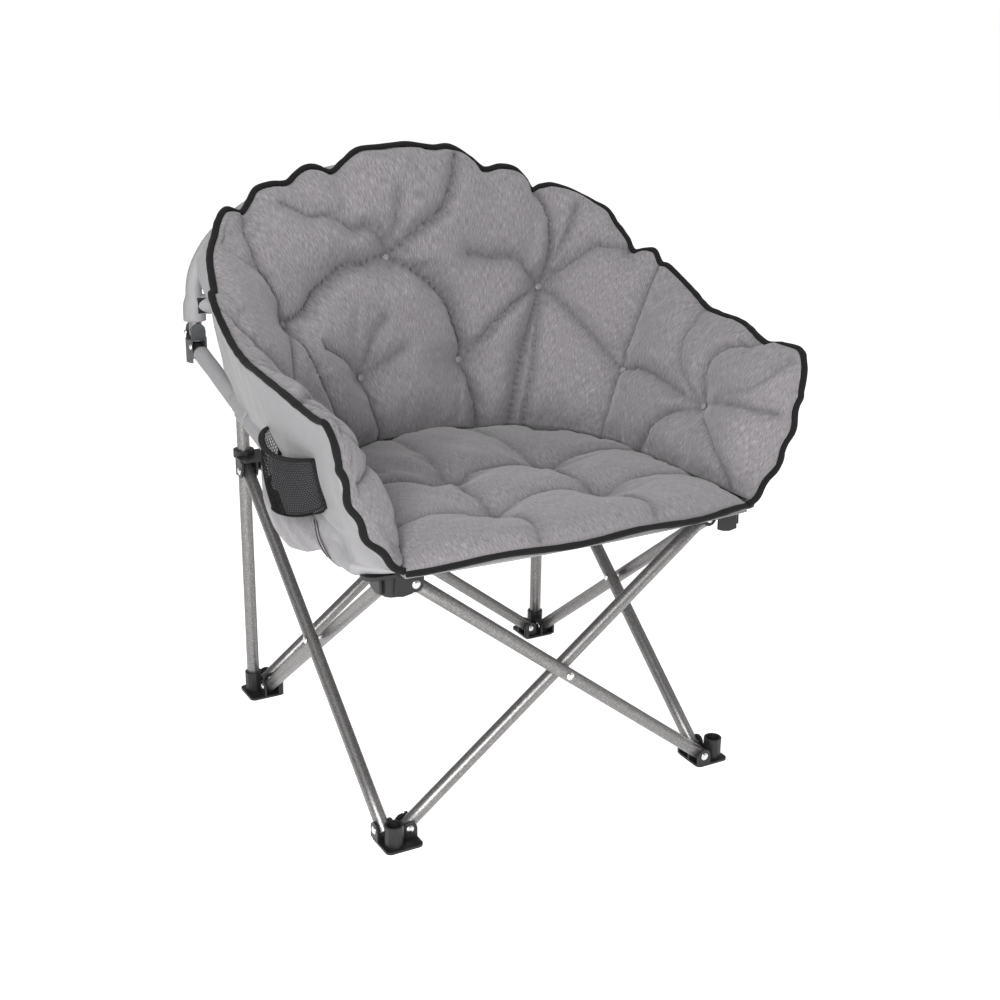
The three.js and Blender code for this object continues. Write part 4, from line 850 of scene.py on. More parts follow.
def wall_pad(part, first, last, columns, rows):
    u = np.linspace(0, 1, columns)[:, None]
    v = np.linspace(0, 1, rows)[None, :]
    station = first + (last - first) * u + 0 * v
    height = PAD_FOOT + (top_share(station) - PAD_FOOT) * v
    lift = rim_lift(station)
    base = bucket(station, height, PAD_BASE, lift)
    place = lambda s, h: bucket(s, h, PAD_BASE, rim_lift(s))
    folds = fold_depth(base, FOLDS[part], place)
    buttons = np.array([place(*b) for b in BUTTONS[part]])
    away = np.min(np.linalg.norm(base[..., None, :] - buttons, axis=-1), axis=-1)
    dimple = np.exp(-((away / 30) ** 2))
    full = hump(u, 0.3) * hump(v, np.where(v < 0.5, 0.24, 0.34))
    fullness = full * (1 - np.maximum(folds, 0.86 * dimple)) * (1 + 0.1 * soft_noise(base, 130, 3))
    crown = PAD_CROWN if part == "back" else ARM_CROWN
    thickness = PAD_EDGE * hump(np.clip(0.03 + 0.94 * v, 0, 1), 0.3) + crown * fullness
    pucker = soft_noise(base * [1, 1, 0.25], 34, 5) * np.exp(-v / 0.1) * 3.5
    pucker = pucker + soft_noise(base, 46, 8) * np.exp(-(1 - v) / 0.12) * 2.2
    thickness = np.maximum(thickness + pucker * full, 2.0)
    front = metres(bucket(station, height, PAD_BASE + thickness, lift))
    back = metres(base)
    pins = np.zeros(station.shape)
    pins[:2], pins[-2:], pins[:, :2], pins[:, -1:] = 1, 1, 1, 1
    pins = np.maximum(pins, (away < 7) * 1.0)
    pins = np.maximum(pins, np.round(np.clip(folds * 1.1 - 0.1, 0, 1), 1) * 0.35)
    front = inflate(part + "_sim", front, back, pins, 3.5, -0.055, 0.014)
    creases = fold_depth(base, FOLDS[part], place, 0.3)
    front = front + wall_normal(station, height) * (CREASE_DEPTH * creases)[..., None]
    # Painted shade in the creases, between puffs, round the buttons, and deep in the bowl, darkest at the
    # pad's foot.
    return front, back, station, height, shade_of(creases, folds, away, 0.45 * np.exp(-((v / 0.13) ** 2)))


pads = {}
for part, first, last, columns, rows in [
    ("back", SEAM + 0.012, MIRROR - 0.012, 210, 96),
    ("right_arm", 0.02, SEAM - 0.012, 92, 72),
    ("left_arm", MIRROR + 0.012, 2 * LAST - 0.02, 92, 72),
]:
    front, back, station, height, shade = wall_pad(part, first, last, columns, rows)
    pad = slab(part + "_quilt", front, back)
    store_shade(pad, shade)
    soft_piece(pad, HEATHER, part + "_cover", part + "_pad")
    pads[part] = (front, station, height)

# Seat
SEAT_CROWN, SEAT_EDGE = 25, 10
SEAT_TUFTS = np.array([(-0.3, -0.02), (0.3, -0.02), (-0.32, -0.54), (0.32, -0.54)])


def seat_plan(across, along):
    """across and along from -1 to 1; along is -1 at the front edge, 0 at the fold line and 1 at the rear."""
    across, along = np.broadcast_arrays(np.asarray(across, float), np.asarray(along, float))
    ahead = np.clip(-along, 0, 1)
    rear = np.clip(along, 0, 1)
    side = SEAT_HALF + SEAT_FLARE * ahead
    puff = (1 - across**2) * ahead**2
    x = np.where(along < 0, across * side, SEAT_HALF * across * np.sqrt(1 - rear**2 / 2))
    y_front = -SEAT_MIDDLE - (SEAT_FRONT - SEAT_MIDDLE) * ahead
    y_rear = -SEAT_MIDDLE + SEAT_REAR * rear * np.sqrt(1 - across**2 / 2)
    level = seat_height(np.where(along < 0, y_front, y_rear))
    return np.stack([x, np.where(along < 0, y_front - SEAT_BOW * puff, y_rear), level + SEAT_LIFT * puff], -1)


def raised(points, height):
    return points + np.stack([0 * height, 0 * height, height], -1)


SEAT_FOLDS = [
    ([(-0.3, -0.02), (0.0, 0.03), (0.3, -0.02)], 0.42, 20),
    ([(-0.32, -0.54), (0.0, -0.5), (0.32, -0.54)], 0.42, 20),
    ([(-0.3, -0.02), (-0.33, -0.3), (-0.32, -0.54)], 0.4, 18),
    ([(0.3, -0.02), (0.27, -0.3), (0.32, -0.54)], 0.4, 18),
    ([(-0.3, -0.02), (-0.6, 0.05), (-0.95, -0.02)], 0.34, 20),
    ([(0.3, -0.02), (0.62, 0.04), (0.95, -0.05)], 0.34, 20),
    ([(-0.32, -0.54), (-0.62, -0.52), (-0.95, -0.6)], 0.34, 18),
    ([(0.32, -0.54), (0.62, -0.5), (0.95, -0.56)], 0.34, 18),
    ([(-0.3, -0.02), (-0.28, 0.4), (-0.36, 0.92)], 0.3, 18),
    ([(0.3, -0.02), (0.26, 0.4), (0.32, 0.92)], 0.3, 18),
    ([(-0.32, -0.54), (-0.3, -0.8), (-0.36, -0.98)], 0.34, 16),
    ([(0.32, -0.54), (0.36, -0.8), (0.3, -0.98)], 0.34, 16),
]
FRONT_ROWS, REAR_ROWS, SEAT_COLUMNS = 54, 48, 120
SEAT_HALVES = [("front", slice(0, FRONT_ROWS)), ("rear", slice(FRONT_ROWS - 1, None))]
across = np.linspace(-1, 1, SEAT_COLUMNS)[:, None] * 0.995
along = np.concatenate([np.linspace(-0.995, 0, FRONT_ROWS), np.linspace(0, 0.99, REAR_ROWS)[1:]])[None, :]
flat = seat_plan(across, along)
tufts = seat_plan(SEAT_TUFTS[:, 0], SEAT_TUFTS[:, 1])
away = np.min(np.linalg.norm(flat[..., None, :] - tufts, axis=-1), axis=-1)
folds = fold_depth(flat, SEAT_FOLDS, seat_plan)
full = hump((across + 1) / 2, 0.3) * hump((along + 1) / 2, np.where(along < 0, 0.36, 0.22))
swell = SEAT_CROWN * full * (1 - np.maximum(folds, 0.9 * np.exp(-((away / 34) ** 2))))
swell = swell * (1 + 0.12 * soft_noise(flat, 120, 11)) + soft_noise(flat, 40, 12) * 1.1 * full
rise = SEAT_EDGE / 2 * hump(np.clip((across + 1) / 2, 0.004, 0.996), 0.2) + swell
front = metres(raised(flat, rise))
under = metres(flat - [0, 0, SEAT_EDGE / 2])
pins = np.zeros(rise.shape)
pins[:2], pins[-2:], pins[:, :2], pins[:, -2:] = 1, 1, 1, 1
pins = np.maximum(pins, (away < 7) * 1.0)
pins = np.maximum(pins, np.round(np.clip(folds * 1.2 - 0.1, 0, 1), 1) * 0.35)
seat_face = inflate("seat_sim", front, under, pins, 3.0, -0.04, 0.012)
creases = fold_depth(flat, SEAT_FOLDS, seat_plan, 0.3)
seat_face = raised(seat_face, -0.8 * CREASE_DEPTH * creases)
# Painted shade in the creases, between puffs, round the tufts, and darker towards the seat's rear.
seat_shade = shade_of(creases, folds, away, 0.5 * smooth(along, -0.6, 0.6))


def cut_slab(name, front, back, cut_end):
    """A slab whose end at the cut has its own points, so that the face runs on smoothly over the cut."""
    obj = slab(name, front, back)
    columns, rows = front.shape[:2]
    row = rows - 1 if cut_end else 0
    loop = [i * rows + row for i in range(columns)]
    edge = set(loop) | {i + columns * rows for i in loop}
    bm = bmesh.new()
    bm.from_mesh(obj.data)
    bm.verts.ensure_lookup_table()
    cut_faces = [f for f in bm.faces if all(v.index in edge for v in f.verts)]
    bmesh.ops.split(bm, geom=cut_faces)
    bm.to_mesh(obj.data)
    bm.free()
    return obj


for name, rows in SEAT_HALVES:
    pad = cut_slab(f"seat_{name}_quilt", seat_face[:, rows], under[:, rows], name == "front")
    store_shade(pad, seat_shade[:, rows])
    soft_piece(pad, HEATHER, f"seat_{name}_cover", f"seat_{name}_pad")


# Piping, buttons and seams
def curve_through(points, count):
    points = np.asarray(points, float)
    line = smooth_line(points)
    dense = line(np.linspace(0, len(points) - 1, 40 * len(points)))
    run = np.concatenate([[0], np.cumsum(np.linalg.norm(np.diff(dense, axis=0), axis=-1))])
    even = np.linspace(0, run[-1], count)
    return np.stack([np.interp(even, run, dense[:, k]) for k in range(3)], -1)


def rim_path(first, last, count):
    """The binding's line along the rim, on top of pad and shell."""
    station = np.linspace(first, last, count)
    return bucket(station, top_share(station) + 0.012, 4.0, rim_lift(station))


def arm_edge_path(left):
    """The binding's line of an arm: along the rim, round the upper front corner and down to the seat."""
    turn = np.linspace(0, math.pi / 2, 16)[1:]
    corner = 0.02 + (CORNER_START - 0.02) * (1 - np.sin(turn))
    stations = np.concatenate([np.linspace(SEAM, CORNER_START, 60), corner, np.full(26, 0.02)])
    down = np.linspace(0.99 - CORNER_DROP - 0.03, 0.01, 26)
    heights = np.concatenate([np.full(60, 1.002), 1.002 - CORNER_DROP * (1 - np.cos(turn)), down])
    waves = 2.8 * np.sin(heights * 25) * (heights < 0.8)
    stations = 2 * LAST - stations if left else stations
    return bucket(stations, heights, 4.0 - waves, rim_lift(stations))


def piping(name, path, body):
    path = metres(path)
    wobble = soft_noise(path * 1000, 26, 21)

    def section(share):
        swell = 1 + 0.1 * wobble[int(round(share * (len(path) - 1)))]
        outline = ring(0.0051, 12)
        return outline * [swell, 0.78 * swell]

    obj = sweep(name, path, section)
    return soft_piece(obj, TAPE, body)


back_line = curve_through(rim_path(SEAM, MIRROR, 260), 380)
piping("back_binding", back_line, "back_cover")
for name, left in [("right", False), ("left", True)]:
    piping(f"{name}_arm_binding", curve_through(arm_edge_path(left), 300), f"{name}_arm_cover")
seat_line = seat_plan(np.linspace(-1.0, 1.0, 60), -1.0) + [0, -3, 1.5]
seat_line = raised(seat_line, 2.2 * np.sin(seat_line[:, 0] / 31))
piping("seat_binding", curve_through(seat_line[::2], 220), "seat_front_cover")


BUTTON_PROFILE = [
    (0.0038, -0.002), (0.0058, 0), (0.0061, 0.0008), (0.0058, 0.002), (0.0046, 0.0031), (0.0026, 0.0038),
    (0.0004, 0.004),
]


def button(name, part, station, height):
    front, stations, heights = pads[part]
    miss = (stations - station) ** 2 * 3 + (heights - height) ** 2 * 9
    i, j = np.unravel_index(np.argmin(miss), miss.shape)
    normal = unit(-wall_normal(np.float64(station), np.float64(height)))
    place = front[i, j] + normal * 0.0012
    obj = lathe(name, BUTTON_PROFILE, place, normal)
    uv = obj.data.uv_layers.new(name="cloth")
    for loop in obj.data.loops:
        co = obj.data.vertices[loop.vertex_index].co
        uv.data[loop.index].uv = (co.x + co.y, co.z)
    spread = [np.linalg.norm(np.cross(np.array(v.co) - place, normal)) for v in obj.data.vertices]
    # Painted shade: a dark ring round the button's rim.
    store_shade(obj, 1.4 * smooth(np.array(spread), 0.0044, 0.0058))
    soft_piece(obj, HEATHER, part + "_cover")


for part, places in BUTTONS.items():
    for k, (station, height) in enumerate(places):
        button(f"{part}_button_{k + 1}", part, station, height)
for part, station in [("right_arm", SEAM - 0.05), ("left_arm", MIRROR + 0.05)]:
    button(f"{part}_seam_button", part, station, SEAM_BUTTON)

# Outer shell
SHELL_THICKNESS = 2.2


def shell_surface(station, v, out):
    """v from the seat's seam (0) over the rail or hoop (a half) up to the rim (1)."""
    station, v = np.broadcast_arrays(station, v)
    zero = np.zeros(station.shape)
    seam = seam_line(station) + wall_normal(station, zero) * out
    lift = rim_lift(station)
    rim = bucket(station, top_share(station) + 0.01, 2.0 - out, lift)
    held = support(station) + wall_normal(station, zero + 0.3) * (out - SHELL_THICKNESS - 0.6)
    around = held - [0, HOOP_Y, HOOP_BEND]
    around = unit(np.stack([around[..., 0], zero, np.maximum(around[..., 2], 0)], -1))
    near = np.minimum(station, 2 * LAST - station)
    held = held + around * (16 * smooth(near, 4.2, 4.9) * (1 - smooth(near, 7.0, 8.0)))[..., None]
    upper = np.clip(2 * v - 1, 0, 1)[..., None]
    high = held * (1 - upper) + rim * upper
    lower = np.clip(2 * v, 0, 1)[..., None]
    hung = seam * (1 - lower) + held * lower
    floor = wall(station, zero)[..., 2]
    share = np.clip((hung[..., 2] - floor) / (wall(station, zero + 1)[..., 2] - floor), 0, None)
    tucked = bucket(station, share, 2.0 - out, lift)
    sway = np.sin(2 * math.pi * np.clip(v, 0, 0.5))[..., None]
    normal = wall_normal(station, share)
    hung = hung * (1 - 0.45 * sway) + tucked * 0.45 * sway
    folds = np.abs(np.sin(math.pi * 1.3 * station + 0.6 * np.sin(9 * v))) * 3.2
    drape = soft_noise(hung, 150, 31) * 3.0 + soft_noise(hung * [1, 1, 0.4], 52, 32) * 1.3
    hung = hung + normal * ((folds + drape + 2)[..., None] * sway)
    sway_high = np.sin(math.pi * np.clip(2 * v - 1, 0, 1))[..., None]
    puff = 5 + soft_noise(high, 90, 33) * 3.2 + soft_noise(high, 38, 34) * 1.0
    high = high + wall_normal(station, zero + 0.8) * (puff[..., None] * sway_high)
    return np.where(v[..., None] > 0.5, high, hung)


# Lowest line of the cloth that hangs from each rail: (place along Y, height)
SKIRT = np.array([
    (-330, 418), (-287, 408), (-250, 397), (-205, 393), (-164, 404), (-96, 376), (-40, 362), (-8, 364),
    (4, 390), (11, 425), (18, 470), (40, 500), (300, 600),
])
WRAP_RADIUS = TUBE_RADIUS + 2.6


def wrap_line(station):
    """The cloth's section at a station, from the seat's seam round the rail's outer side up to the rim."""
    at = np.float64(station)
    sign = 1.0 if station < LAST else -1.0
    axis = rail_axis(support(at)[1])
    low = min(np.interp(axis[1], SKIRT[:, 0], SKIRT[:, 1]), axis[2] - WRAP_RADIUS)
    drop = axis[2] - WRAP_RADIUS - low
    cup = math.exp(-(((axis[1] + 150) / 85) ** 2)) * (sign < 0)

    def place(out, z):
        return np.array([sign * (axis[0] + out), axis[1], z])

    rim = bucket(at, top_share(at) + 0.01, 0.5, rim_lift(at))
    over = place(WRAP_RADIUS * 0.5, axis[2] + WRAP_RADIUS * 0.9)
    middle = over * 0.5 + rim * 0.5 + [sign * (5 + 5 * cup), 0, 0]
    return smooth_line([
        seam_line(at) + wall_normal(at, 0.0) * 1.5,
        place(-18 - 0.12 * drop, low + 5),
        place(WRAP_RADIUS * 0.4 - 0.1 * drop, low),
        place(WRAP_RADIUS + 1 + 0.03 * drop, (axis[2] + low) / 2),
        place(WRAP_RADIUS, axis[2]),
        over,
        middle,
        rim,
    ])


def clear_of_rail(points):
    """Moves cloth that would lie inside a rail out to the wrap's radius."""
    moved = points.copy()
    for sign in (-1, 1):
        hinge, axis = rail_line(sign)
        along = (moved - hinge) @ axis
        foot = hinge + along[..., None] * axis
        away = moved - foot
        far = np.linalg.norm(away, axis=-1)
        past_end = smooth(along, RAIL_LENGTH - 5, RAIL_LENGTH + 35)
        radius = WRAP_RADIUS * smooth(along, 50, 60) * (1 - past_end)
        share = np.maximum(radius / np.maximum(far, 1), 1.0)
        moved = foot + away * share[..., None]
    return moved


def even_points(line, last, rows):
    dense = line(np.linspace(0, last, 160))
    run = np.concatenate([[0], np.cumsum(np.linalg.norm(np.diff(dense, axis=0), axis=-1))])
    even = np.linspace(0, run[-1], rows)
    return np.stack([np.interp(even, run, dense[:, k]) for k in range(3)], -1)


# Creases of the side cloth: (place along Y, height) lines, depth and half width in millimetres
CREASES = [
    ([(-150, 476), (-200, 458), (-262, 462)], 5, 7),
    ([(-160, 505), (-215, 498), (-262, 520)], -3, 10),
    ([(-240, 425), (-262, 447), (-280, 480)], 3, 8),
    ([(60, 515), (-20, 540), (-70, 585)], 3.5, 10),
    ([(150, 560), (90, 590), (50, 640)], 3, 10),
    ([(20, 510), (-60, 505), (-80, 480)], -3, 9),
]


def crease_depth(points):
    depth = np.zeros(points.shape[:-1])
    for line, size, width in CREASES:
        spine = smooth_line([(y, z, 0) for y, z in line])(np.linspace(0, len(line) - 1, 24))[:, :2]
        away = np.min(np.linalg.norm(points[..., None, 1:] - spine, axis=-1), axis=-1)
        depth += size * np.exp(-((away / width) ** 2))
    return depth


def grid_normals(grid):
    return unit(np.cross(np.gradient(grid, axis=0), np.gradient(grid, axis=1)))


def cloth_sheet(grid):
    """Works out the area of a cloth's grid of points, and does nothing with it."""
    corner, side, up = grid[:-1, :-1], grid[1:, :-1] - grid[:-1, :-1], grid[:-1, 1:] - grid[:-1, :-1]
    far = grid[1:, 1:] - corner
    area = sum(np.linalg.norm(np.cross(a, far), axis=-1).sum() / 2 for a in (side, up))


def outer_cloth(first, last, columns, rows):
    station = np.linspace(first, last, columns)[:, None]
    v = np.linspace(0.0, 0.985, rows)[None, :]
    plain = shell_surface(station, v, 0.5)
    near = np.minimum(station, 2 * LAST - station)
    wrap = (1 - smooth(near, 3.8, 4.35))[..., None]
    wrapped = plain.copy()
    for i in np.where(wrap[:, 0, 0] > 0)[0]:
        wrapped[i] = even_points(wrap_line(station[i, 0]), 7, rows)
    grid = plain * (1 - wrap) + wrapped * wrap
    floor, top = wall(station, v * 0)[..., 2], wall(station, v * 0 + 1)[..., 2]
    share = np.clip((grid[..., 2] - floor) / (top - floor), 0, 1)
    edge = (1 - smooth(near, 0.0, 0.6))[..., None]
    grid = grid * (1 - edge) + bucket(station, share, 1.0, rim_lift(station)) * edge
    free = np.sin(math.pi * v) ** 0.6 * smooth(near, 0.0, 0.7)
    wrinkle = soft_noise(grid, 120, 36) * 2.6 + soft_noise(grid * [1, 1, 0.6], 46, 37) * 1.5
    wrinkle = wrinkle + crease_depth(grid)
    wrinkle = np.where(near < 4.35, np.maximum(wrinkle, -0.6), wrinkle)
    away = np.sign(np.sum(grid_normals(grid) * wall_normal(station, v), axis=-1, keepdims=True))
    return clear_of_rail(grid + grid_normals(grid) * away * (wrinkle * free * 0.8)[..., None])


CLOTH_ROWS = 64
for part, first, last, columns in [
    ("back", SEAM + 0.012, MIRROR - 0.012, 170),
    ("right_arm", 0.02, SEAM, 90),
    ("left_arm", MIRROR, 2 * LAST - 0.02, 90),
]:
    grid = metres(outer_cloth(first, last, columns, CLOTH_ROWS))
    faces, uvs = grid_faces(columns, CLOTH_ROWS), lengths(grid).reshape(-1, 2)
    shell = mesh_object(part + "_cloth", grid.reshape(-1, 3), faces, uvs)
    add_modifier(shell, "SOLIDIFY", thickness=SHELL_THICKNESS / 1000, offset=0)
    apply_modifiers(shell)
    soft_piece(shell, SHELL, part + "_cover", part + "_shell")
    cloth_sheet(grid)

SEAT_CLOTH = 2.4  # thickness of the cloth under the seat
seat_fit = SEAT_EDGE / 2 + 0.5
sag = 9 * np.clip(hump((across + 1) / 2, 1) * hump((along + 1) / 2, 1), 0, 1)
sag = sag + soft_noise(flat, 90, 41) * 0.8 * full
low_front = metres(raised(flat, -seat_fit - sag))
low_under = metres(raised(flat, -seat_fit - sag - SEAT_CLOTH))
for name, rows in SEAT_HALVES:
    cloth = slab(f"seat_{name}_cloth", low_front[:, rows], low_under[:, rows])
    soft_piece(cloth, SHELL, f"seat_{name}_cover", f"seat_{name}_shell")
    corner = "bracket" if name == "front" else "slider"
    cloth_sheet(low_front[:, rows])


# Sleeves of the shell's cloth round the hoop and the rails
SLEEVE_LOW = 605  # height where the hoop's sleeves begin
HOOP_SLEEVE, CLAMP_SLEEVE, RAIL_SLEEVE = 11.0, 13.5, 10.9  # their radii


def sleeve(name, path, radius, body, seed, flare=0.0):
    """A cloth sleeve, wider by the flare over its first 50 mm."""
    path = metres(path)
    long = np.linalg.norm(np.diff(path, axis=0), axis=-1).sum()
    wobble = [soft_noise(path * 1000 + shift, 44, seed) for shift in (0, 50, 100)]

    def section(share):
        k = int(round(share * (len(path) - 1)))
        turn = np.arange(24) / 24 * 2 * math.pi
        ripple = sum(w[k] * np.cos(turn * (j + 1) + seed + j) for j, w in enumerate(wobble))
        wide = radius + flare * (1 - smooth(share * long * 1000, 26, 50))
        r = wide / 1000 * (1 + 0.035 * ripple)
        return np.stack([r * np.cos(turn), r * np.sin(turn)], -1)

    obj = sweep(name, path, section, caps=False)
    add_modifier(obj, "SOLIDIFY", thickness=0.0012, offset=1)
    apply_modifiers(obj)
    dress(obj, SHELL)
    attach(obj, body)


for name, sign in [("left", -1), ("right", 1)]:
    path = hoop_line(sign, SLEEVE_LOW, SLEEVE_END_X, 14, 90)
    sleeve(f"{name}_hoop_sleeve", path, HOOP_SLEEVE, f"{name}_hoop", 3, 4.2)
    clamp = np.array([sign * HOOP_X, HOOP_Y, HOOP_CLAMP])
    inward = unit(np.array([sign * (POST_REACH - HOOP_X), POST_REACH - HOOP_Y, 0.0]))
    path = clamp + np.linspace(4, 42, 12)[:, None] * inward
    sleeve(f"{name}_clamp_sleeve", path, CLAMP_SLEEVE, f"{name}_hoop", 5)
    hinge, axis = rail_line(sign)
    path = hinge + np.linspace(19, 200, 60)[:, None] * axis
    sleeve(f"{name}_rail_sleeve", path, RAIL_SLEEVE, f"{name}_side_rail", 8)

# Cup holder of open mesh
CUP_LENGTH, CUP_DEPTH, CUP_TOP, CUP_MIDDLE, CUP_BACK = 129, 38, 546, -140.5, -333
CLOTH_STATIONS = np.linspace(MIRROR - 0.4, 2 * LAST, 120)
CLOTH_PLACES = np.array([support(np.float64(t))[1] for t in CLOTH_STATIONS])


def station_at(y):
    return np.interp(-np.asarray(y, float), -CLOTH_PLACES, CLOTH_STATIONS)


def cup_wall(turn, height, inset=0.0):
    """Half round mesh wall: turn 0 at the rear seam to 1 at the front, height 0 at the rim to 1 below."""
    turn, height = np.broadcast_arrays(np.asarray(turn, float), np.asarray(height, float))
    angle = math.pi * turn
    sag = 9 * np.sin(angle) ** 2
    low = 439 + 36 * turn**1.6
    y = CUP_MIDDLE + (CUP_LENGTH / 2 - inset) * np.cos(angle) - 13 * height * turn
    z = CUP_TOP + 3 * turn - sag * (1 - height) + (low - CUP_TOP) * height
    depth = (CUP_DEPTH - inset) * np.sin(angle) ** 0.8 * (1 + 0.46 * height - 0.59 * height**2)
    out = turn**2 * (1 - height)
    return np.stack([CUP_BACK + 5.5 * height - 16 * out - depth, y - 29 * out, z], -1)


def mesh_net(name, surface, across_count, down_count, thread):
    """A hexagonal net over a surface, each thread a three-sided rod."""
    points, rods = {}, []

    def key(u, v):
        k = (round(u, 5), round(v, 5))
        points.setdefault(k, len(points))
        return points[k]

    du, dv = 1 / across_count, 1 / down_count
    for i in range(across_count):
        for j in range(down_count):
            u = (i + 0.5 * (j % 2)) * du
            v = j * dv
            if u + du / 2 > 1 or v + dv > 1:
                continue
            top = key(u, v)
            side = key(u + du / 2, v + dv / 3)
            other = key(u - du / 2, v + dv / 3) if u - du / 2 >= 0 else None
            rods.append((top, side))
            if other is not None:
                rods.append((top, other))
            rods.append((side, key(u + du / 2, v + dv)))
    place = metres(surface(np.array([k[0] for k in points]), np.array([k[1] for k in points])))
    verts, faces = [], []
    for a, b in rods:
        pa, pb = place[a], place[b]
        along_rod = unit(pb - pa)
        side = unit(np.cross(along_rod, [0.3, 0.2, 0.93]))
        up = np.cross(along_rod, side)
        start = len(verts)
        for centre in (pa - along_rod * thread * 0.3, pb + along_rod * thread * 0.3):
            for t in range(3):
                angle = 2 * math.pi * t / 3
                verts.append(centre + thread * (math.cos(angle) * side + math.sin(angle) * up))
        sides = [(start + k, start + (k + 1) % 3) for k in range(3)]
        faces += [(a, b, b + 3, a + 3) for a, b in sides]
        faces += [(start, start + 2, start + 1), (start + 3, start + 4, start + 5)]
    count = len(verts)
    return mesh_object(name, verts, faces, np.stack([np.arange(count) * 0.0001, np.arange(count) * 0.0], -1))


net = mesh_net("cup_holder_net", cup_wall, 42, 25, 0.00046)
soft_piece(net, MESH, "left_arm_cover", "cup_holder")


def cup_floor(u, v):
    edge = cup_wall(u, 1.0)
    inner = np.stack([np.full(edge[..., 1].shape, CUP_BACK + 4.0), edge[..., 1], edge[..., 2]], -1)
    v = np.asarray(v)[..., None]
    return inner * (1 - v) + edge * v


def cup_foot(u, v):
    return cup_wall(0.02 + 0.56 * u, 0.6 + 0.4 * v, 2.2)


foot_net = mesh_net("cup_holder_foot", cup_foot, 26, 11, 0.00062)
soft_piece(foot_net, MESH, "left_arm_cover")
lining_turns, lining_heights = np.linspace(0.52, 0.99, 24)[:, None], np.linspace(0.03, 0.98, 20)[None, :]
lining_grid = metres(cup_wall(lining_turns, lining_heights, 3.0))
lining_uvs = lengths(lining_grid).reshape(-1, 2)
lining = mesh_object("cup_holder_lining", lining_grid.reshape(-1, 3), grid_faces(24, 20), lining_uvs)
add_modifier(lining, "SOLIDIFY", thickness=0.0008, offset=0)
apply_modifiers(lining)
soft_piece(lining, LINING, "left_arm_cover")
cloth_sheet(lining_grid)
floor_net = mesh_net("cup_holder_base", cup_floor, 34, 8, 0.0005)
soft_piece(floor_net, MESH, "left_arm_cover")


def binding(name, path, width):
    obj = sweep(name, metres(path), lambda share: ring(width / 1000, 10) * [1, 0.45])
    soft_piece(obj, TAPE, "left_arm_cover")


turns = np.linspace(0, 1, 60)
binding("cup_holder_rim", cup_wall(turns, 0.0), 4.2)
for name, turn in [("rear", 0.0), ("front", 1.0)]:
    binding(f"cup_holder_{name}_seam", cup_wall(turn, np.linspace(0, 1, 30)), 2.6)
binding("cup_holder_hem", cup_wall(turns, 1.0), 2.0)


# Pouch of the pads' cloth on the skirt below the cup holder
def pouch_face(u, v, bulge):
    """u from the front edge to the rear, v from the lowest line up to the rail."""
    front = -213 + 55 * v
    y = front + (2 + 8 * v - front) * u
    points = np.zeros((*u.shape, 3))
    for index in np.ndindex(u.shape):
        points[index] = wrap_line(float(station_at(y[index])))(np.array([1.75 + 2.45 * v[index]]))[0]
    ripple = soft_noise(points, 42, 51) * 1.2 + soft_noise(points, 22, 52) * 0.5
    full = hump(u, 0.45) * hump(v, 0.4)
    return points + np.stack([-(1.6 + bulge * (0.15 + full) + ripple * full), 0 * u, -1.5 * (1 - v)], -1)


uu, vv = np.meshgrid(np.linspace(0, 1, 60), np.linspace(0, 1, 30), indexing="ij")
pouch = slab("side_pouch_bag", metres(pouch_face(uu, vv, 8)), metres(pouch_face(uu, vv, 0)))
soft_piece(pouch, HEATHER, "left_arm_cover", "side_pouch")
for k, inward in enumerate([0.0, 0.022]):
    rise = np.linspace(0.3, 0.99, 30)
    seam = pouch_face(0 * rise + inward, rise, 8) - [0.9, 0, 0]
    binding(f"side_pouch_stitch_{k + 1}", seam, 0.7)


# Camera, floor and light
SENSOR, FOCAL_PIXELS, PICTURE_PIXELS = 36, 1581.55, 1000


def photo_camera():
    """The camera that was fitted to the photograph."""
    yaw, pitch, roll, distance = -0.51289, 0.34741, 0.014625, 2.3359
    target = Vector((0.04034, 0.02519, 0.358))
    back = Vector((math.sin(yaw) * math.cos(pitch), -math.cos(yaw) * math.cos(pitch), math.sin(pitch)))
    right = (-back).cross(Vector((0, 0, 1))).normalized()
    up = right.cross(-back)
    turned = math.cos(roll) * right + math.sin(roll) * up
    above = -math.sin(roll) * right + math.cos(roll) * up
    data = bpy.data.cameras.new("photo")
    data.sensor_width = SENSOR
    data.lens = SENSOR * FOCAL_PIXELS / PICTURE_PIXELS
    data.clip_start, data.clip_end = 0.1, 50
    cam = bpy.data.objects.new("photo", data)
    bpy.context.scene.collection.objects.link(cam)
    place = target + back * distance
    cam.matrix_world = Matrix([*zip(turned, above, back, place), (0, 0, 0, 1)])
    bpy.context.scene.camera = cam


photo_camera()


def ray_of(tree, *kinds):
    """1 where the ray is of one of two kinds, else 0."""
    path = tree.nodes.new("ShaderNodeLightPath")
    most = tree.nodes.new("ShaderNodeMath")
    most.operation = "MAXIMUM"
    for k, kind in enumerate(kinds):
        tree.links.new(path.outputs[f"Is {kind} Ray"], most.inputs[k])
    return most.outputs[0]


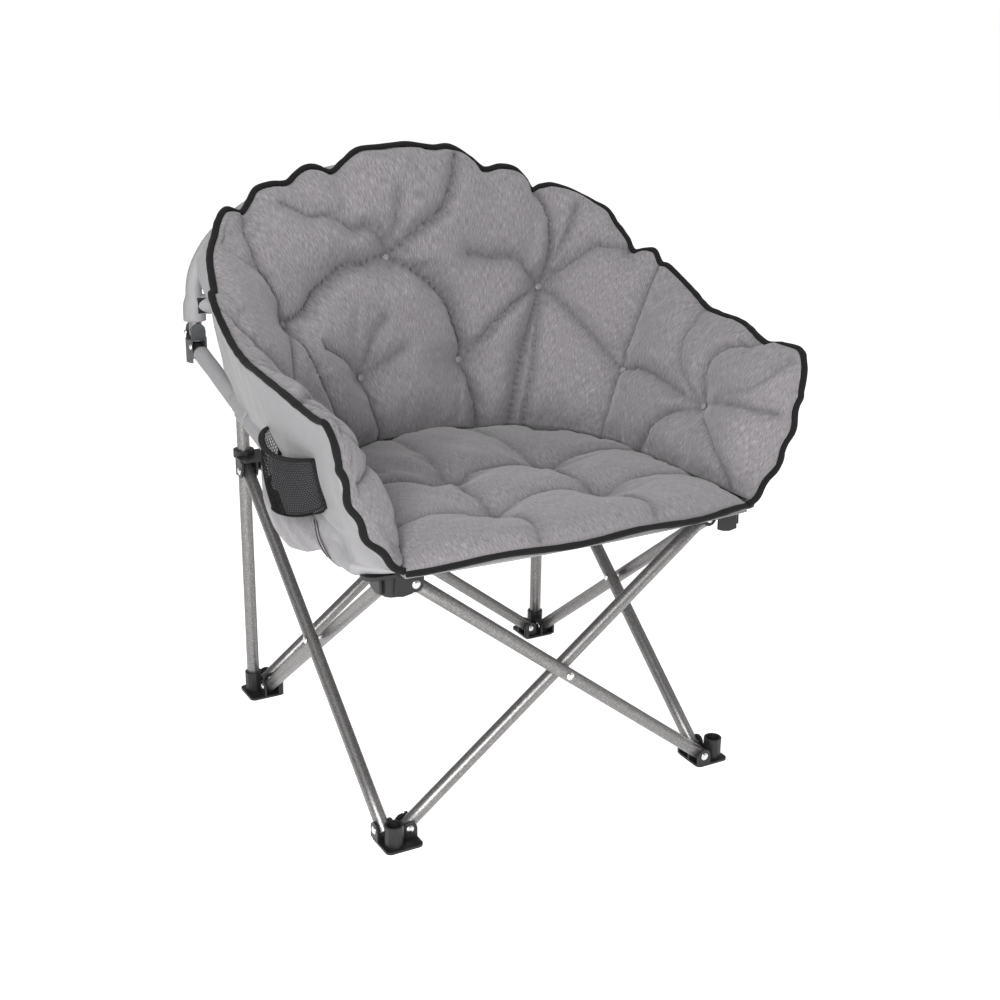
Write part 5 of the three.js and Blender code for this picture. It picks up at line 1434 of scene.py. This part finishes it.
def seen_white(tree, shader, strength):
    """Adds light that only the camera and clear reflections see, so that the ground looks white."""
    glow = tree.nodes.new("ShaderNodeEmission")
    scale = tree.nodes.new("ShaderNodeMath")
    scale.operation = "MULTIPLY"
    tree.links.new(ray_of(tree, "Camera", "Glossy"), scale.inputs[0])
    scale.inputs[1].default_value = strength
    tree.links.new(scale.outputs[0], glow.inputs["Strength"])
    both = tree.nodes.new("ShaderNodeAddShader")
    tree.links.new(shader, both.inputs[0])
    tree.links.new(glow.outputs[0], both.inputs[1])
    return both.outputs[0]


bpy.ops.mesh.primitive_plane_add(size=400, location=(0, 0, -0.0004))
floor = bpy.context.active_object
floor.name = "studio_floor"
paper = bpy.data.materials.new("studio_paper")
paper.use_nodes = True
tree = paper.node_tree
diffuse = tree.nodes.new("ShaderNodeBsdfDiffuse")
diffuse.inputs["Color"].default_value = (0.9, 0.9, 0.9, 1)
tree.nodes.remove(tree.nodes["Principled BSDF"])
output = tree.nodes["Material Output"]
tree.links.new(seen_white(tree, diffuse.outputs[0], 0.7), output.inputs["Surface"])
floor.data.materials.append(paper)

world = bpy.data.worlds.new("studio")
bpy.context.scene.world = world
world.use_nodes = True
tree = world.node_tree
background = tree.nodes["Background"]
background.inputs["Color"].default_value = (1, 1, 1, 1)
level = tree.nodes.new("ShaderNodeMapRange")
tree.links.new(ray_of(tree, "Camera", "Transmission"), level.inputs["Value"])
level.inputs["To Min"].default_value = 0.34
level.inputs["To Max"].default_value = 1.0
tree.links.new(level.outputs[0], background.inputs["Strength"])


def lamp(name, place, aim, power, size):
    data = bpy.data.lights.new(name, "AREA")
    data.energy = power
    data.size = size
    obj = bpy.data.objects.new(name, data)
    bpy.context.scene.collection.objects.link(obj)
    obj.location = place
    obj.rotation_euler = (Vector(aim) - Vector(place)).to_track_quat("-Z", "Y").to_euler()


lamp("key", (-1.75, -2.4, 1.5), (0, 0, 0.5), 112, 1.3)
lamp("fill", (2.4, -1.6, 1.6), (0, 0, 0.5), 12, 2.2)
lamp("top", (-0.6, 0.3, 3.0), (0, 0, 0.5), 16, 1.6)

bpy.context.scene.view_settings.view_transform = "Standard"
